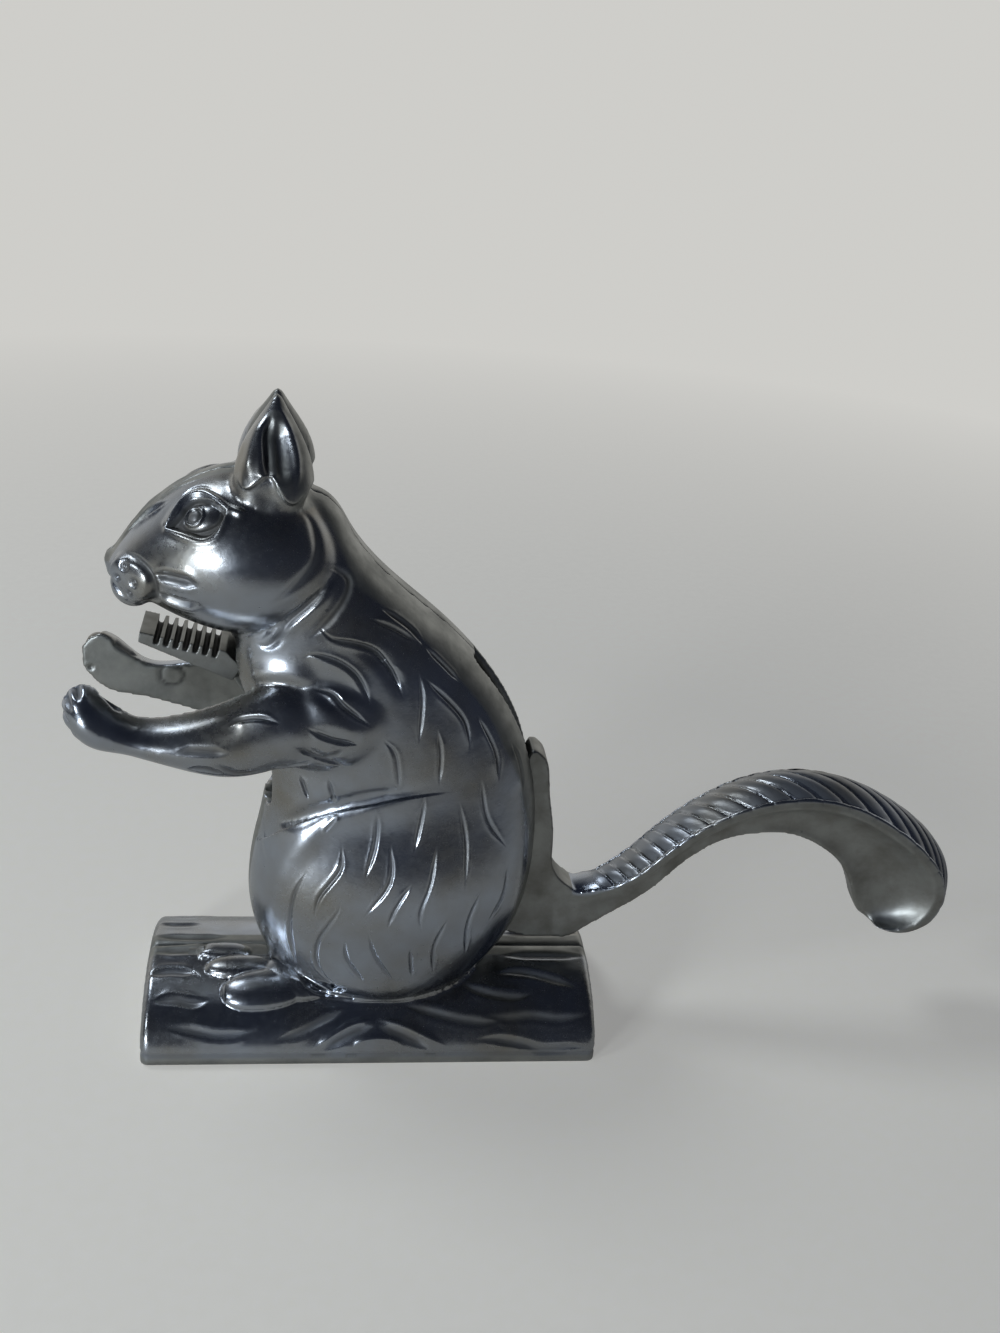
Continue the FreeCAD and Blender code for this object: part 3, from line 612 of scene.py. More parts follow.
def shape_foot(clay):
    """Lays the toes and the heel over the log as lobes, clear of the haunch above them."""
    x, y, z = clay.places.T
    reach = np.sqrt((y / LOG_HALF[0]) ** 2 + (np.maximum(z - LOG_FOOT, 0) / LOG_HALF[1]) ** 2)
    clear = ((np.abs(x - HAUNCH_MIDDLE_X) / HAUNCH_HALF[0]) ** 2.5
             + (np.abs(y) / HAUNCH_HALF[1]) ** 2.5) ** 0.4
    spots = np.where((reach < 1.3) & (x < -8) & (y < 2) & (z > 6) & (z < 22) & (clear > 1.0))[0]
    base = clay.places[spots].copy()
    base[:, 1:] -= (base[:, 1:] - [0, LOG_FOOT]) * (1 - 1 / reach[spots])[:, None]
    rise = np.zeros(len(spots))
    beyond = np.full(len(spots), 99.0)
    for middle_x, middle_y, long, wide, tall, turn in TOES:
        offset = base[:, :2] - [middle_x, middle_y]
        ahead = (offset[:, 0] * math.cos(turn) + offset[:, 1] * math.sin(turn)) / long
        across = (offset[:, 1] * math.cos(turn) - offset[:, 0] * math.sin(turn)) / wide
        share = (np.abs(ahead) ** 2.3 + np.abs(across) ** 2.3) ** (1 / 2.3)
        rise = np.maximum(rise, tall * np.clip(1 - share ** 2.4, 0, 1) ** 0.5)
        beyond = np.minimum(beyond, (share - 1) * wide)
    normal = np.stack([base[:, 1] / LOG_HALF[0] ** 2,
                       (base[:, 2] - LOG_FOOT) / LOG_HALF[1] ** 2], axis=1)
    normal /= norms(normal)[:, None]
    wanted = base.copy()
    wanted[:, 1:] += normal * rise[:, None]
    weight = fade(clear[spots], 1.02, 1.14) * fade(-beyond, -3.5, -1.2)
    clay.places[spots] += (wanted - clay.places[spots]) * weight[:, None]


# %% The ear and the muzzle pad
EAR_MIDDLE = (-26.4, 144)
EAR_NOTCH = [-26.8, 141.4]
EAR_BEYOND = [(-12, 150), (-20, 175), (-40, 175)]
EAR_LIFT = 0.8
PAD_HEIGHT = 2.2
PAD_SHOULDER = 4.5


def shape_ear_foot(clay):
    """Lifts the ear a little off the head above the line of its foot, with a soft wall."""
    line = clay.chain(EAR_FOOT)[:, [0, 2]]
    x, y, z = clay.places.T
    spots = np.where((np.abs(x - EAR_MIDDLE[0]) < 11) & (np.abs(z - EAR_MIDDLE[1]) < 12)
                     & (y < -4))[0]
    flat = clay.places[spots][:, [0, 2]]
    gap = chain_distance(flat, line)[0]
    closed = np.vstack([line, EAR_BEYOND + [line[0]]])
    signed = np.where(inside(flat, closed), gap, -gap)
    notch = norms(flat - EAR_NOTCH)
    raised = EAR_LIFT * fade(signed, -0.4, 0.6) * bell(signed, 4.5) * fade(flat[:, 0], -33.5, -31)
    clay.push(raised - fade(-signed, -0.4, 1.2) * bell(notch, 3.4), spots)


def shape_pad(clay):
    """Makes the muzzle pad one smooth dome inside its outline."""
    rim = clay.chain(PAD)
    middle = rim.mean(axis=0)
    outward = np.linalg.svd(rim - middle)[2][2]
    outward = outward * -np.sign(outward[1])
    level = np.cross(outward, [0, 0, 1.0])
    level /= np.linalg.norm(level)
    upward = np.cross(level, outward)
    offset = clay.places - middle
    spots = np.where((norms(offset) < 11) & (clay.normals @ outward > 0))[0]
    flat = np.stack([offset[spots] @ level, offset[spots] @ upward], axis=1)
    outline = np.stack([(rim - middle) @ level, (rim - middle) @ upward], axis=1)
    gap = chain_distance(flat, outline)[0]
    within = inside(flat, outline)
    share = np.clip(gap / PAD_SHOULDER, 0, 1)
    dome = PAD_HEIGHT * np.sqrt(1 - (1 - share) ** 2)
    height = offset[spots] @ outward
    change = (dome - height) * fade(gap, 0.0, 1.6) * within
    clay.places[spots] += outward * change[:, None]
    print("pad: height", round(float(np.percentile(height[within], 90)), 2), "mm")


# %% [markdown]
# The solids meet in creases where arm, shoulder and haunch run together. A pattern maker fills such
# corners with wax; here they're melted inside a few boxes. Then the skin is made finer, but only where
# something will be cut, because a fine skin everywhere would be slow.

# %% Melted creases and a finer skin
CUT_REACH = 2.0
THIN_REACH = 0.8
# two corners of a box, rounds, and where needed the width of its border and what is given back
MELTED = {
    "shoulder and elbow": ((-32, -26, 70), (6, -12, 110), 40),
    "thigh": ((-34, -28, 50), (20, -12, 80), 30),
    "elbow once more": ((-27, -27, 74), (0, -14, 96), 12, 3.0, 0.0),
    "crown between the ears": ((-40, -9, 134), (-10, 2, 148), 10),
    "muzzle": ((-64, -16, 111), (-48, -2, 129), 36),
    "foot of the ear": ((-36, -19, 137), (-17, -8, 149), 16, 2.5),
}
clays = {}
for node, side in SIDES.items():
    clay = Clay(halves[node], side)
    clays[node] = clay
    for box in MELTED.values():
        clay.soften(*box)
    cut = FOLDS + FUR + ARM + FINGERS + [THUMB, THIGH] + MOUTH
    cut += [LIP, PAD, BRIDGE, CROWN_EDGE, CHEEK, COLLAR_INNER, COLLAR_OUTER, HAUNCH_RIM]
    cut += BARK + KNOT + KNOT_DIP
    x, y, z = clay.places.T
    ear = (z > 138) & (np.abs(x + 26) < 9) & (y < -3)
    foot = (x < -12) & (y < 2.5) & (np.abs(z - 14) < 7.5) & (side < 0)
    fine = ear | clay.near(eye_middle(clay), 11) | clay.near(PAD_MIDDLE, 8.5) | foot
    clay.refine([clay.chain(marks) for marks in cut], CUT_REACH, fine)
    clay.settle(1)
    if side < 0:
        shape_foot(clay)
    shape_pad(clay)
    shape_ear_foot(clay)
    clay.settle(2)
    thin = [clay.chain(marks) for marks in FUR + FOLDS + MOUTH + [BRIDGE, THIGH]]
    clay.refine(thin, THIN_REACH, clay.near(eye_middle(clay), 9))
    print(node, "fine skin:", len(clay.places), "vertices")

# %% [markdown]
# The collar's roll, the ear, the elbow and the edge of the thigh come first, because the strokes run over
# them. A groove is darkened with buffing dirt and with painted shade in the cut, so each stroke also says
# how much dark it holds.

# %% Broad forms
ELBOW_FOLD = [(-33, -8.7, 97.1), (-27.4, -14, 100.5), (-20.8, -16.2, 101.4), (-14, -17.4, 99.4)]
for clay in clays.values():
    clay.gouge(COLLAR_ROLL, 2.9, -0.4, lip=0, ends=(0.4, 0.15))
    clay.gouge(EAR_FOLD, 1.9, -0.8, lip=0)
    clay.gouge(EAR_DISH, 2.3, 2.1, lip=0, grime_and_shade=0.2)
    clay.gouge(ELBOW_FOLD, 2.4, -0.7, lip=0)
    clay.gouge(HAUNCH_SHOULDER, 3.0, -0.7, lip=0, ends=(0.3, 0.5))
    clay.step(THIGH, 0.6, 0.5, 5.0, 5.0, 0.25)
    round_log(clay)
    clay.settle(0)

# %% Edges and strokes
# chains, width, depth (below zero for a ridge), and what differs from a plain groove
CUTS = [
    ([COLLAR_INNER], 0.9, 0.6, {}),
    ([COLLAR_OUTER], 0.8, 0.45, {}),
    ([CHEEK], 1.1, 0.4, {"grime_and_shade": 0.3}),
    ([EAR_VALLEY], 0.85, 1.5, {"lip": 0.1, "ends": (0.3, 0.05)}),
    ([EAR_RIM], 0.8, -0.45, {"lip": 0}),
    ([EAR_FOOT], 0.45, 0.3, {"lip": 0, "grime_and_shade": 0.6}),
    ([PAD[2:9]], 0.55, 0.55, {"lip": 0.05, "ends": (0.3, 0.2)}),
    ([LIP], 0.6, 0.4, {}),
    ([BRIDGE], 0.65, 0.5, {"lip": 0.8, "grime_and_shade": 0.1}),
    ([CROWN_EDGE], 0.5, -0.35, {"lip": 0}),
    (MOUTH, 1.0, 1.1, {"lip": 0.3, "grime_and_shade": 0.8}),
    (FOLDS, 0.5, 0.42, {"lip": 0.3, "shoulder": 0.35, "grime_and_shade": 0.5}),
    (FUR, 0.42, 0.36, {"lip": 0.35, "grime_and_shade": 0.55}),
    (ARM, 0.8, 0.4, {}),
    (FINGERS, 0.7, 0.8, {"ends": (0.02, 0.5)}),
    ([THUMB], 0.9, 0.8, {"ends": (0.02, 0.3)}),
    ([HAUNCH_RIM], 0.6, -0.3, {"lip": 0}),
    (BARK, 0.9, 0.45, {"lip": 0.3, "grime_and_shade": 0.6}),
    (KNOT_DIP, 1.0, 0.5, {"lip": 0}),
    (KNOT, 0.9, -0.5, {"lip": 0}),
]
DOT = {"pit": 0.95, "ball": 0.45, "depth": 0.5, "height": 0.25}
for clay in clays.values():
    for chains, width, depth, options in CUTS:
        for marks in chains:
            clay.gouge(marks, width, depth, **options)
    for mark in DOTS:
        clay.bead(mark, **DOT)
    carve_eye(clay)
    clay.write()

# %% [markdown]
# The tail is the handle. Its back is cut with slanting ribs, like a twisted rope, so that a wet hand
# doesn't slip. A rib starts at a scallop of the near rim and runs back towards the body as it crosses the
# crown. Each face of the skin knows how far it lies along the crown and across it; a wave of those two
# numbers gives cushions with sharp valleys, which bend with the tail without any drawn curve.

# %% Tail ribs
CROWN = [
    (45, 40), (51.5, 37.4), (57.4, 39.6), (64.4, 44.8), (73, 53.7), (82.6, 61.2), (94.2, 66.8),
    (107.4, 68.8), (120.4, 66.6), (133.6, 60), (144.4, 51), (149.2, 42), (149, 34.6), (145, 28.8),
    (138.8, 25.8), (131.5, 26.8)
]
HALF_WIDTH = [4, 4.4, 5.6, 6.8, 7.2, 7.4, 7.8, 8.1, 8.5, 9, 9.3, 9.4, 9.2, 9, 8.2, 5.4]
EAVE = [0.8, 0.9, 1.2, 1.5, 1.6, 1.6, 1.7, 1.8, 2, 2.4, 2.8, 2.6, 2.4, 2, 1.8, 1]
SCALLOPS = [
    (57, 37.8), (60, 40.2), (63, 42.3), (66, 44.4), (68.9, 46.9), (71.8, 50), (74.6, 53), (78.2, 56),
    (82.3, 59.3), (86.6, 61.8), (91.6, 64.2), (97, 65.9), (103, 67), (109.8, 67), (117, 65.6), (124, 63),
    (131.4, 59.4)
]
CURL_STEPS = [6.6, 6.2, 5.8, 5.4, 5.2, 5, 5, 5, 5, 5]
SLANT_PLACES = [15, 31, 40, 50, 62, 75, 85, 120]
SLANTS = [0.33, 0.33, 0.55, 0.72, 0.8, 1.05, 1.3, 1.4]
SLANT_ROUNDS = 6
CUSHION_POWER = 0.24
TIP_EDGES = (124, -12, 18), (156, 12, 37)
TIP_DISH = (124, -12, 20), (152, 12, 38)
JAW_TOP_X, JAW_TOP_Z = [-55, -36], [106.6, 102.3]


def path_lengths(flat, path):
    """Arc length along a path in mm, signed distance above it, and where its points are."""
    starts = np.cumsum([0, *norms(np.diff(path, axis=0))])
    gap, share, turn = chain_distance(flat, path)
    return share * starts[-1], turn * gap, starts


def tail_grid(clay):
    """For each vertex: its place along and under the crown, the sizes there, and its rib."""
    path = smooth_chain(CROWN)
    flat = clay.places[:, [0, 2]]
    along, above, starts = path_lengths(flat, path)
    joints = starts[::PIECES]
    half = np.interp(along, joints, HALF_WIDTH)
    eave = np.interp(along, joints, EAVE)
    places = path_lengths(np.array(SCALLOPS, float), path)[0]
    marks = np.concatenate([places, places[-1] + np.cumsum(CURL_STEPS)])
    origin = along
    for _ in range(SLANT_ROUNDS):
        origin = along + (clay.places[:, 1] + half) * np.interp(origin, SLANT_PLACES, SLANTS)
    rib = np.interp(origin, marks, np.arange(len(marks)), left=-1, right=-1)
    width = np.interp(origin, marks[1:], np.diff(marks))
    on_tail = (flat[:, 0] > 50) & (along > 5)
    return along, -above, half, eave, rib, width, on_tail


tail_clay = Clay(lever, -1)
for _ in range(3):
    tail_clay.soften(*TIP_EDGES, 6, 5.0, 0.0)
tail_clay.soften(*TIP_DISH, 60, 4.0)
_, under, _, eave, _, _, on_tail = tail_grid(tail_clay)
tail_clay.refine([], 0, on_tail & (under < eave + 2.6))
along, under, half, eave, rib, width, on_tail = tail_grid(tail_clay)
across = np.abs(tail_clay.places[:, 1])
cushion = np.abs(np.sin(np.pi * rib)) ** CUSHION_POWER
ribbed = fade(rib, 0, 0.8) * on_tail * fade(-along, -140, -130)
crown = fade(eave + 0.5 - under, -0.3, 0.6)
deep = np.clip(0.16 * width, 0.5, 0.95)
rim_drop = fade(across, half - 2.4, half + 0.2)
cap = deep * (cushion - 1) - 0.5 * (1 - cushion) * rim_drop + 0.15 * cushion
cap -= 0.9 * fade(across / half, 0.1, 1.1)
side_zone = (1 - crown) * fade(eave + 2.4 - under, 0, 2.4)
scallop = 0.45 * cushion - 0.35
tail_clay.push(ribbed * (crown * cap + side_zone * scallop))
x, y, z = tail_clay.places.T
# the flat faces of the cushions are darkened as a painted dark reflection, and the valleys between them as
# painted shade
painted_dark_face = fade(cushion, 0.75, 0.92) * fade(half - np.abs(y), 0.5, 1.5)
valley = fade(1 - cushion, 0.45, 0.8)
tail_clay.grime_and_painted_dark = ribbed * crown * np.maximum(0.4 * valley, 0.5 * painted_dark_face)
# the slots between the jaw's ribs are darkened as painted shade
below_top = np.interp(x, JAW_TOP_X, JAW_TOP_Z) - z
slots = (x < -36.5) & (x > -53.5) & (np.abs(y) < 6.1) & (below_top > 0.25) & (below_top < 2.6)
tail_clay.lay_grime_and_painted_dark(slots)
tail_clay.write()
print("lever skin:", len(tail_clay.places), "vertices, ribs:", int(rib.max()))

# %% [markdown]
# The casting is tumbled, then buffed on a wheel. The wheel reaches the flanks, the head, the log and the
# crown of the tail, and leaves the middle band, the web and the insides grey. Each skin carries two
# numbers per vertex: how grey it is, and how dark: grime and painted shade in its cuts, and on the tail's
# ribs a painted dark reflection.

# %% Where the polish ends
BAND_HEIGHTS = [20, 40, 48, 59, 67, 75, 83, 91, 103, 114, 122, 127, 133, 138, 146]
BAND_EDGES = [13, 13.5, 11.4, 10.5, 11, 11.7, 12.2, 12, 12.7, 11.5, 12.6, 10.6, 8.6, 7, 6.6]
RING_MIDDLE = [-50.2, -13, 86.9]
RING_RADIUS = 2.75
TIP = [134.5, 27.5]
TIP_REACH = 3.6


def grey_of_half(clay):
    """How grey each vertex of a half is: the band along its middle, the insides and the foot."""
    x, y, z = clay.places.T
    away = np.abs(y)
    back = fade(x, -26 + 12 * (z < 100), -20 + 14 * (z < 100))
    edge = np.interp(z, BAND_HEIGHTS, BAND_EDGES)
    band = fade(edge - away, -0.3, 0.5) * back * (z > 18.5)
    head_top = fade(3.4 - away, -0.3, 0.4) * (z > 122) * (1 - back)
    crest = fade(4.2 - away, -0.3, 0.4) * (z < 18.5) * (z > 14)
    arm_inside = (clay.normals[:, 1] > 0.6) * (x < -20) * (z > 70)
    inner = (away < 4.6) & (clay.normals[:, 1] > -0.3) & (z > 20) & (z < 115)
    foot = (z < 2.4) * 0.8
    dish = 0.9 * fade(2.2 - chain_distance(clay.places, clay.chain(EAR_DISH))[0], 0, 0.8)
    ear_back = fade(clay.normals[:, 0], 0.35, 0.6) * (z > 138) * (x > -28)
    zones = [band, head_top, crest, arm_inside * 1.0, inner * 1.0, foot, dish, ear_back]
    return np.clip(np.maximum.reduce(zones), 0, 1)


def press_ring(clay):
    """The round mark of a mould pin on the inner face of the forearm, its groove darkened as painted
    shade.
    """
    off = norms(clay.places - RING_MIDDLE) - RING_RADIUS
    inner_face = (np.abs(clay.places[:, 1] + 13) < 0.8) & (clay.normals[:, 1] > 0.6)
    clay.push(-0.3 * bell(off, 0.3) * inner_face)
    # painted shade in the ring's groove
    clay.lay_grime_and_painted_dark(bell(off, 0.35) * inner_face)
    clay.write()


def paint(casting, grey, groove):
    """Stores how grey each vertex is and how dark, from grime, painted shade and a painted dark
    reflection, for the shader.
    """
    for name, values in (("grey", grey), ("groove", groove)):
        layer = casting.data.attributes.new(name, "FLOAT", "POINT")
        layer.data.foreach_set("value", values.astype(np.float32))


for node, casting in halves.items():
    press_ring(clays[node])
    paint(casting, grey_of_half(clays[node]), clays[node].grime_and_painted_dark)
buffed_tail = on_tail * fade(eave + 1.0 - under, -0.4, 0.6) * fade(-along, -142, -134)
from_tip = norms(tail_clay.places[:, [0, 2]] - TIP)
tail_grey = (1 - buffed_tail) * (1 - 0.25 * bell(from_tip, TIP_REACH))
paint(lever, tail_grey, tail_clay.grime_and_painted_dark)

# %% [markdown]
# The two halves are joined for good and move as one body; the lever is the other. Each skin stands for the
# solid it was made from, so that nothing is shown twice.

# %% Bodies and what they stand for
for node, casting in halves.items():
    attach(casting, "casting")
    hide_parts(node)
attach(lever, "lever")
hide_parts("tail_lever")

# %% [markdown]
# Shader graphs are easier to read as sums than as wires. This small class wraps a socket, so that 1 - mask
# or a * b + c adds the Math nodes; any other node comes from one method.

# %% Shader helper
def operator(operation, swap=False):
    """A method that puts a Math node after this socket, or before it when swapped."""
    def apply(self, other):
        first, second = (other, self) if swap else (self, other)
        return self.graph.add("ShaderNodeMath", {"operation": operation}, {0: first, 1: second})
    return apply


class Sock:
    """A socket that can be added, subtracted and multiplied."""

    __add__ = operator("ADD")
    __radd__ = operator("ADD", swap=True)
    __sub__ = operator("SUBTRACT")
    __rsub__ = operator("SUBTRACT", swap=True)
    __mul__ = operator("MULTIPLY")
    __rmul__ = operator("MULTIPLY", swap=True)

    def __init__(self, graph, socket):
        self.graph = graph
        self.socket = socket

    def clamped(self):
        return self.graph.add("ShaderNodeClamp", {}, {"Value": self})


class Graph:
    """A material's or a world's node tree."""

    def __init__(self, owner):
        owner.use_nodes = True
        self.tree = owner.node_tree
        self.tree.nodes.clear()

    def add(self, kind, settings, inputs, output=0):
        node = self.tree.nodes.new(kind)
        for key, value in settings.items():
            setattr(node, key, value)
        for key, value in inputs.items():
            if isinstance(value, Sock):
                self.tree.links.new(value.socket, node.inputs[key])
            else:
                node.inputs[key].default_value = value
        if output is None:
            return node
        return Sock(self, node.outputs[output])

    def noise(self, where, scale, detail, rough):
        return self.add("ShaderNodeTexNoise", {}, {
            "Vector": where, "Scale": scale, "Detail": detail, "Roughness": rough})

    def between(self, value, low, high, start=0.0, end=1.0):
        return self.add("ShaderNodeMapRange", {"clamp": True}, {
            "Value": value, "From Min": low, "From Max": high, "To Min": start, "To Max": end})

    def blend(self, factor, first, second):
        settings = {"data_type": "RGBA", "clamp_factor": True}
        return self.add("ShaderNodeMix", settings, {0: factor, 6: first, 7: second}, 2)

    def place(self):
        return self.add("ShaderNodeTexCoord", {}, {}, "Object")

    def axes(self, where):
        """The x, y and z of a place or a direction."""
        parts = self.add("ShaderNodeSeparateXYZ", {}, {"Vector": where}, None)
        return [Sock(self, parts.outputs[axis]) for axis in "XYZ"]

    def ray_kinds(self):
        """1 for what the camera sees, and 1 for what shiny metal mirrors."""
        path = self.add("ShaderNodeLightPath", {}, {}, None)
        return [Sock(self, path.outputs[kind]) for kind in ("Is Camera Ray", "Is Glossy Ray")]

    def metal(self, colour, metallic, rough, bump):
        """A metal surface; bump is a height, a strength and a distance in metres."""
        height, strength, distance = bump
        normal = self.add("ShaderNodeBump", {}, {
            "Height": height, "Strength": strength, "Distance": distance})
        shader = self.add("ShaderNodeBsdfPrincipled", {}, {
            "Base Color": colour, "Metallic": metallic, "Roughness": rough, "Normal": normal})
        self.add("ShaderNodeOutputMaterial", {}, {"Surface": shader}, None)


# %% [markdown]
# Cast aluminium comes out of the mould pale grey and a little rough. The wheel turns it bright and bluish
# where it reaches, with smoky patches from the wax, and packs black compound into every cut. The cuts are
# also darkened as painted shade, and the faces of the tail's ribs as a painted dark reflection. So the
# metal is mixed from a buffed and a cast finish by one number, and grime with that painted dark follows
# the other. The lever's cast faces are darkened by hands.

# %% Cast aluminium, buffed and grey
BUFFED = (0.39, 0.425, 0.485, 1)
SMOKED = (0.29, 0.28, 0.255, 1)
GREY = (0.33, 0.335, 0.32, 1)
DULL = (0.21, 0.215, 0.205, 1)
WORN = (0.23, 0.225, 0.205, 1)
# black of grime, also used for painted shade in the cuts and a painted dark reflection on the tail's ribs
GRIME_AND_PAINTED_DARK = (0.03, 0.026, 0.021, 1)
# patterns, in cells per metre
CLOUDS, PATCHES, SPECKS, GRAIN = 42.0, 130.0, 620.0, 2400.0


def aluminium(name, cast_tones):
    """A cast metal that is buffed where the skin isn't grey."""
    material = bpy.data.materials.new(name)
    graph = Graph(material)
    where = graph.place()
    clouds = graph.noise(where, CLOUDS, 4.0, 0.55)
    patches = graph.noise(where, PATCHES, 4.0, 0.6)
    specks = graph.noise(where, SPECKS, 3.0, 0.6)
    grain = graph.noise(where, GRAIN, 3.0, 0.6)
    groove = graph.add("ShaderNodeAttribute", {"attribute_name": "groove"}, {}, "Fac")
    grey = graph.add("ShaderNodeAttribute", {"attribute_name": "grey"}, {}, "Fac")
    buffed = graph.blend(graph.between(clouds, 0.35, 0.7), BUFFED, SMOKED)
    cast = graph.blend(graph.between(patches, 0.38, 0.7), *cast_tones)
    # grime, painted shade and painted dark reflection from the skin, and random specks of grime
    grime_and_painted_dark = (groove * 0.75 + graph.between(specks, 0.68, 0.8) * (0.12 + grey * 0.3)).clamped()
    colour = graph.blend(grime_and_painted_dark, graph.blend(grey, buffed, cast), GRIME_AND_PAINTED_DARK)
    smears = graph.between(clouds, 0.3, 0.75, 0.19, 0.27)
    buffed_rough = smears + graph.between(specks, 0.3, 0.8, 0.0, 0.07)
    cast_rough = graph.between(patches, 0.3, 0.7, 0.38, 0.5)
    rough = (buffed_rough * (1 - grey) + cast_rough * grey + groove * 0.2).clamped()
    broad = clouds * 0.5 + patches * 0.2
    fine = specks * (0.09 + 0.05 * grey) + grain * 0.02 * (0.5 + grey)
    graph.metal(colour, (1 - grime_and_painted_dark * 0.9).clamped(), rough, (broad + fine, 0.35, 0.0006))
    return material


body_metal = aluminium("buffed_cast_aluminium", (GREY, DULL))
for casting in halves.values():
    casting.data.materials.append(body_metal)
lever.data.materials.append(aluminium("handled_cast_aluminium", (GREY, WORN)))

# %% [markdown]
# The hidden pins are cut from drawn steel rod, which is bright and finely lined. A plain rod needs no
# carving, so they keep their solids and only take a metal.

# %% Drawn steel
STEEL_TONES = (0.42, 0.42, 0.43, 1), (0.55, 0.55, 0.56, 1)


def drawn_steel():
    """A plain bright rod metal."""
    material = bpy.data.materials.new("drawn_steel")
    graph = Graph(material)
    lines = graph.noise(graph.place(), 900.0, 2.0, 0.5)
    colour = graph.blend(lines, *STEEL_TONES)
    graph.metal(colour, 1.0, graph.between(lines, 0.3, 0.7, 0.28, 0.42), (lines, 0.1, 0.0002))
    return material


steel = drawn_steel()
for node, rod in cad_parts.items():
    if node.endswith(("_pin", "_dowel")):
        rod.data.materials.clear()
        rod.data.materials.append(steel)

# %% [markdown]
# The studio is a pale sheet under the piece and a pale wall behind it. The rest of the room is dim, which
# is what gives polished metal its dark bands. Far from the piece the sheet takes the tone of the wall, so
# the two meet without a line; near the piece it's lit by the lamps and keeps its shadow. Ahead of the
# piece the sheet ends, and what the metal mirrors beyond it is the dim room; only the camera sees the
# sheet go on.

# %% Floor
PALE = (0.62, 0.615, 0.59, 1)
GLOW = (0.27, 0.27, 0.262, 1)
ROOM = (0.045, 0.05, 0.065, 1)
CEILING = (0.02, 0.024, 0.036, 1)
SHEET_TONES = (0.73, 0.69, 0.61, 1), (0.83, 0.79, 0.70, 1)
BLACK = (0, 0, 0, 1)
REACH = 3.0
# distances from the piece in metres, where a change starts and where it ends
WALL_TONE = 0.22, 0.75
SHEET_END = 0.17, 0.4
BEHIND = 0.2, 0.6
corners = [(-REACH, -REACH, 0), (REACH, -REACH, 0), (REACH, REACH, 0), (-REACH, REACH, 0)]
floor_mesh = bpy.data.meshes.new("floor")
floor_mesh.from_pydata(corners, [], [(0, 1, 2, 3)])
floor = place_object("floor", floor_mesh)
floor_paint = bpy.data.materials.new("pale_floor")
graph = Graph(floor_paint)
where = graph.place()
x_axis, y_axis, _ = graph.axes(where)
camera_ray, glossy_ray = graph.ray_kinds()
tone = graph.blend(graph.noise(where, 260.0, 3.0, 0.6), *SHEET_TONES)
glow = graph.blend((camera_ray + glossy_ray * 0.4).clamped(), BLACK, GLOW)
sheet = graph.add("ShaderNodeBsdfPrincipled", {}, {
    "Base Color": tone, "Roughness": 0.8, "Emission Color": glow, "Emission Strength": 1.0})
far_wall = graph.add("ShaderNodeEmission", {}, {"Color": PALE, "Strength": 1.0})
dark_room = graph.add("ShaderNodeEmission", {}, {"Color": ROOM, "Strength": 1.0})
beyond_sheet = graph.between(x_axis * 0.4 - y_axis, *SHEET_END) * (1 - camera_ray)
near = graph.add("ShaderNodeMixShader", {}, {0: beyond_sheet, 1: sheet, 2: dark_room})
distance = graph.add("ShaderNodeVectorMath", {"operation": "LENGTH"}, {0: where}, "Value")
seen = (camera_ray + glossy_ray * graph.between(y_axis, *BEHIND)).clamped()
shown = graph.between(distance, *WALL_TONE) * seen
mixed = graph.add("ShaderNodeMixShader", {}, {0: shown, 1: near, 2: far_wall})
graph.add("ShaderNodeOutputMaterial", {}, {"Surface": mixed}, None)
floor_mesh.materials.append(floor_paint)

# %% World
world = bpy.data.worlds.new("studio")
bpy.context.scene.world = world
graph = Graph(world)
camera_ray, glossy_ray = graph.ray_kinds()
direction = graph.add("ShaderNodeTexCoord", {}, {}, "Generated")
_, back, up = graph.axes(direction)
room = graph.blend(graph.between(up, -0.1, 0.7), ROOM, CEILING)
wall = graph.between(back, 0.0, 0.5) * (1 - graph.between(up, 0.35, 0.8))
light = graph.blend((camera_ray + glossy_ray * wall).clamped(), room, PALE)
background = graph.add("ShaderNodeBackground", {}, {"Color": light, "Strength": 1.0})
graph.add("ShaderNodeOutputWorld", {}, {"Surface": background}, None)

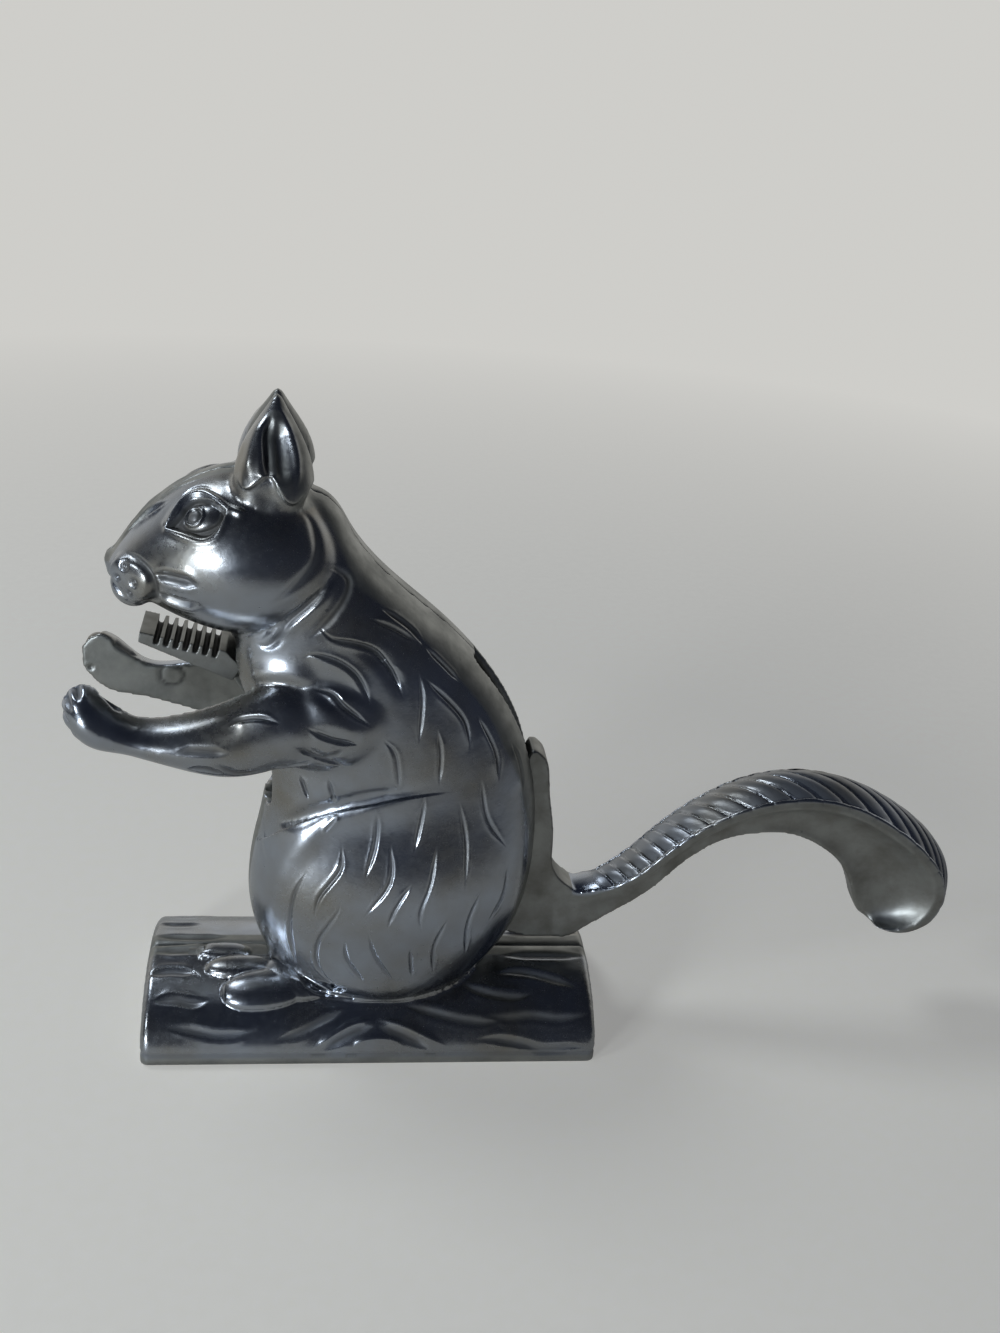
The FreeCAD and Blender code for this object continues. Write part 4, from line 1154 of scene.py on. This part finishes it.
# %% [markdown]
# Cool daylight comes from three round panels: a low one ahead for the bright spots on cheek, shoulder and
# haunch, a weaker one from the side, and one above for the back and the tail. Panels of that size give
# polished metal bounded highlights; a bare lamp would leave dots, and a sky none.

# %% Lamps
DAYLIGHT = (0.84, 0.92, 1.0)
# place, aim, width and height in metres, power in watts
LAMPS = {
    "key": ((-0.50, -0.62, 0.15), (0, 0, 0.09), (0.17, 0.22), 2.8),
    "side": ((-0.74, -0.36, 0.52), (0, 0, 0.08), (0.18, 0.2), 1.1),
    "top": ((-0.42, 0.24, 0.79), (0, 0, 0.05), (0.28, 0.28), 1.5),
}
for name, (place, aim, size, power) in LAMPS.items():
    light = bpy.data.lights.new(name, "AREA")
    light.shape = "ELLIPSE"
    light.size, light.size_y = size
    light.energy = power
    light.color = DAYLIGHT
    item = place_object(name, light)
    item.location = place
    item.rotation_mode = "QUATERNION"
    item.rotation_quaternion = (Vector(aim) - Vector(place)).to_track_quat("-Z", "Y")
print("lamps:", len(LAMPS), "with", sum(values[3] for values in LAMPS.values()), "W in all")

# %% [markdown]
# The camera stands a third of a metre away, looks down on the piece and is rolled a little. So close, it
# shows the tops of log and tail as well as the flank.

# %% Camera
# radians, metres and millimetres of a 36 mm wide sensor
YAW, PITCH, ROLL = 0.1361, 0.4400, 0.0819
CAMERA_PLACE = (-0.015043, -0.310089, 0.244649)
LENS, SENSOR = 39.51, 36
level = math.cos(PITCH)
ahead = Vector((math.sin(YAW) * level, math.cos(YAW) * level, -math.sin(PITCH)))
right = Vector((math.cos(YAW), -math.sin(YAW), 0))
above = right.cross(ahead)
rolled_right = right * math.cos(ROLL) + above * math.sin(ROLL)
rolled_up = above * math.cos(ROLL) - right * math.sin(ROLL)
camera_data = bpy.data.cameras.new("camera")
camera_data.lens = LENS
camera_data.sensor_width = SENSOR
camera_data.clip_start = 0.01
camera = place_object("camera", camera_data)
turn = Matrix((rolled_right, rolled_up, -ahead)).transposed()
camera.matrix_world = Matrix.Translation(CAMERA_PLACE) @ turn.to_4x4()
bpy.context.scene.camera = camera
bpy.context.scene.view_settings.view_transform = "Standard"
